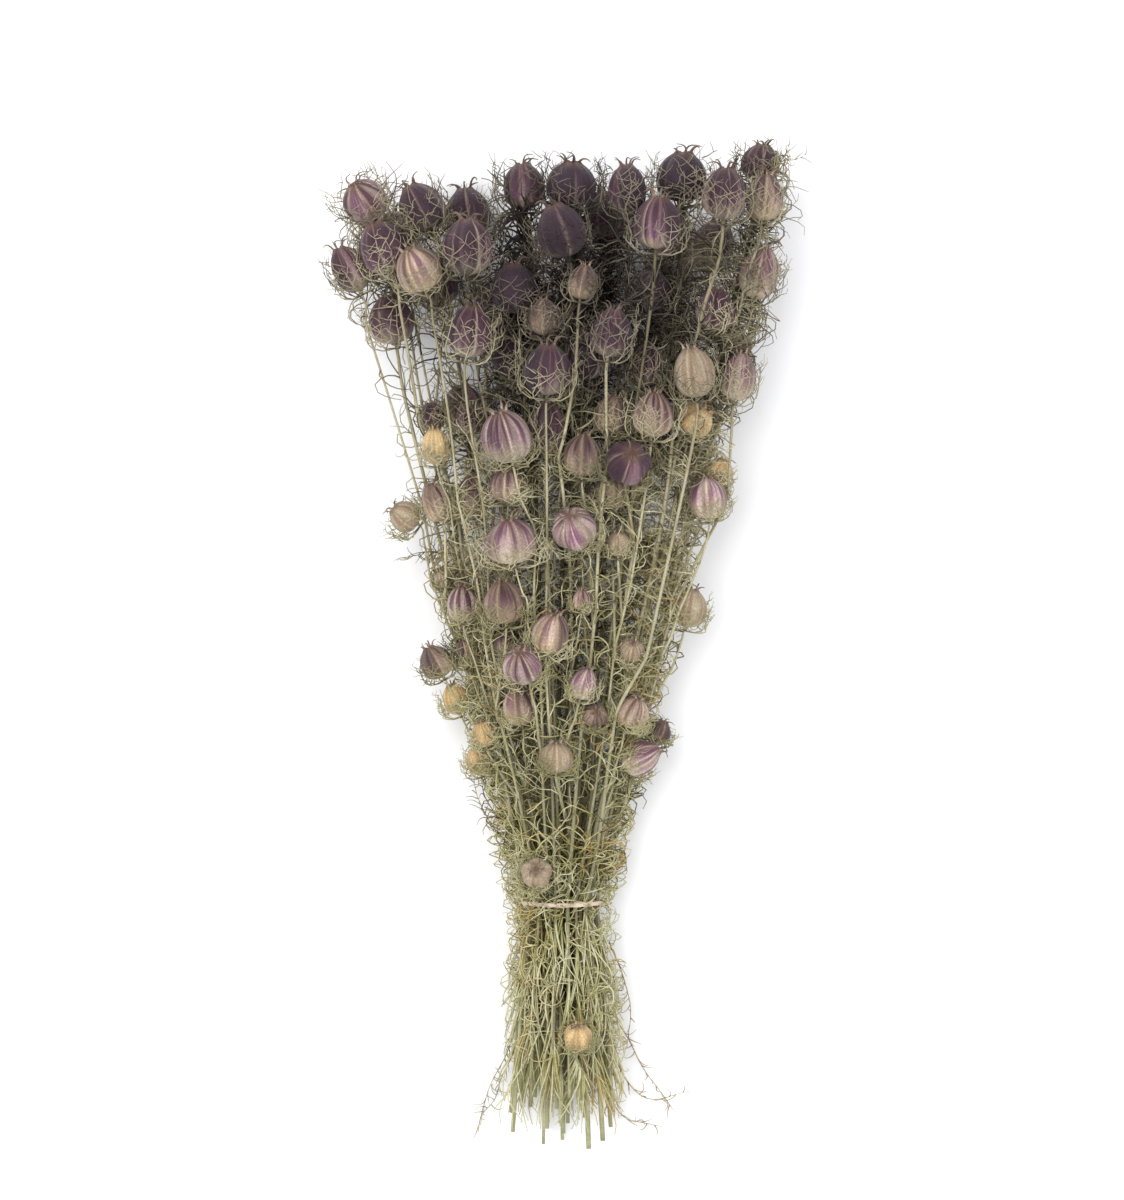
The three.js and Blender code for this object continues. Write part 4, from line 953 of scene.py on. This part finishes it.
# ---- Stray threads ------------------------------
# A few long leaf threads have been pulled out of the bunch. Most lie beside its cut ends and its
# neck, and one each beside its middle and its heads.

STRAYS = [  # three places on each: in the bunch, half way and at its tip
    [(22, -50, 12), (40, -84, 4), (59, -108, 2)], [(20, -66, 9), (40, -99, 2), (64, -97, 1.5)],
    [(18, -84, 8), (28, -108, 2), (50, -116, 1.5)], [(24, -20, 16), (33, -48, 8), (35, -74, 3)],
    [(-24, -76, 12), (-38, -102, 3), (-45, -118, 1.5)], [(-20, -56, 16), (-34, -90, 6), (-42, -112, 2)],
    [(-26, 34, 18), (-37, 50, 22), (-39, 66, 24)], [(-24, 26, 26), (-36, 42, 30), (-42, 60, 30)],
    [(-52, 178, 42), (-66, 177, 38), (-80, 175, 30)], [(100, 366, 52), (112, 374, 54), (120, 377, 56)],
]
rng = np.random.default_rng(9)
stray_lines = wavy(np.array([curve_through(np.array(row, dtype=float), 18) for row in STRAYS]), 1.6, 34)
groups = [(stray_lines, 1.0)]
for at in range(3, 17):
    start = stray_lines[:, at]
    sideways = unit(stray_lines[:, at] - stray_lines[:, at - 1] + rng.normal(0, 2.0, start.shape))
    groups.append((wander(start, sideways, 5, 2.0, pull=0)[0], 0.75))
vertices, faces = threads(groups, 0.4)
tone = np.full(len(vertices), 0.42) + 0.2 * np.sin(vertices[:, 0])
values = {"tone": tone, "gold": 0.8 * (vertices[:, 0] > 25) * (vertices[:, 1] < 0), "mauve": 0.45 + 0 * tone}
piece("stray_threads", in_frame(vertices), faces, values, thread_finish, *every_plant)


# ---- Rubber band --------------------------------
# A pale natural-rubber band, about two millimetres wide, stretched once round the stems. Its outer
# face is slightly rounded, and it bulges and narrows a little as it passes over the stems.

BAND_AROUND, BAND_SECTION = 180, 16
OFF_STEM_MIDDLES, BAND_HALF_THICK, BAND_HALF_WIDE = 1.65, 0.55, 1.1
SQUARENESS = 0.55  # of the section: 1 is an ellipse, less is boxier
BAND_HALF = BUNDLE_HALF + OFF_STEM_MIDDLES + BAND_HALF_THICK
angle = 2 * np.pi * np.arange(BAND_AROUND) / BAND_AROUND
section = 2 * np.pi * np.arange(BAND_SECTION) / BAND_SECTION
across, upright = np.cos(section), np.sin(section)
across, upright = (np.sign(v) * np.abs(v) ** SQUARENESS for v in (across, upright))
ripple = 1 + 0.1 * np.sin(17 * angle) + 0.06 * np.sin(31 * angle + 1)
wide = BAND_HALF_WIDE * ripple[:, None] * upright
thick = BAND_HALF_THICK * across[None] + 0.08 * np.sin(23 * angle)[:, None]
outward = unit(np.stack([np.cos(angle) * BAND_HALF[1], 0 * angle, np.sin(angle) * BAND_HALF[0]], axis=1))
band_x, band_z = BAND_HALF[0] * np.cos(angle), BAND_MIDDLE_Z + BAND_HALF[1] * np.sin(angle)
ring = np.stack([band_x, 0.25 * np.sin(3 * angle), band_z], axis=1)
vertices = ring[:, None] + outward[:, None] * thick[..., None] + np.array([0, 1, 0]) * wide[..., None]
near = np.arange(BAND_AROUND)[:, None] * BAND_SECTION + np.arange(BAND_SECTION)
after = np.roll(near, -1, axis=1)
quads = np.stack([near, after, np.roll(after, -1, axis=0), np.roll(near, -1, axis=0)], axis=-1).reshape(-1, 4)
band_finish, tree, shader = finish_of("Pale rubber", 0.5)
blotches, fine = grain(tree, 160, 1500)
rubber = mixed(tree, blotches, sRGB(226, 208, 196), sRGB(206, 180, 164))
rubber = mixed(tree, times(tree, fine, 0.3), rubber, sRGB(170, 150, 130))
tree.links.new(rubber, shader.inputs["Base Color"])
bumped(tree, shader, fine, 0.0001, 0.4)
band = piece("band", in_frame(vertices.reshape(-1, 3)), [quads], {}, band_finish, "rubber_band")


# ---- Floor, light and camera --------------------
# The bunch lies on a plain white floor in soft studio light, seen from straight above, as in a
# catalogue picture: heads at the top, cut ends at the bottom.

floor_mesh = bpy.data.meshes.new("floor")
floor_mesh.from_pydata([(-3, -3, 0), (3, -3, 0), (3, 3, 0), (-3, 3, 0)], [], [(0, 1, 2, 3)])
floor = bpy.data.objects.new("floor", floor_mesh)
bpy.context.collection.objects.link(floor)
floor_finish, tree, shader = finish_of("White floor", 0.9)
shader.inputs["Base Color"].default_value = (0.93, 0.93, 0.94, 1)
floor_mesh.materials.append(floor_finish)

world = bpy.data.worlds.new("studio")
bpy.context.scene.world = world
world.use_nodes = True
sky = world.node_tree.nodes["Background"]
sky.inputs["Color"].default_value = (0.97, 0.98, 1.0, 1)
sky.inputs["Strength"].default_value = 0.8


def softbox(name, place, size, power, colour):
    lamp = bpy.data.lights.new(name, "AREA")
    lamp.shape, lamp.size, lamp.energy, lamp.color = "SQUARE", size, power, colour
    made = bpy.data.objects.new(name, lamp)
    made.location = place
    made.rotation_euler = Vector(-np.array(place)).to_track_quat("-Z", "Y").to_euler()
    bpy.context.collection.objects.link(made)


softbox("softbox_left", (-0.8, 0.5, 1.9), 1.8, 36, (1.0, 0.99, 0.97))
softbox("softbox_right", (1.1, -0.2, 1.5), 1.5, 14, (0.97, 0.98, 1.0))

camera_data = bpy.data.cameras.new("camera")
camera_data.sensor_width = 36
camera_data.lens = 120
camera = bpy.data.objects.new("camera", camera_data)
camera.location = (TO_FRAME[0], 0.154 + TO_FRAME[1], 2.055)
bpy.context.collection.objects.link(camera)
bpy.context.scene.camera = camera
bpy.context.scene.view_settings.view_transform = "Standard"
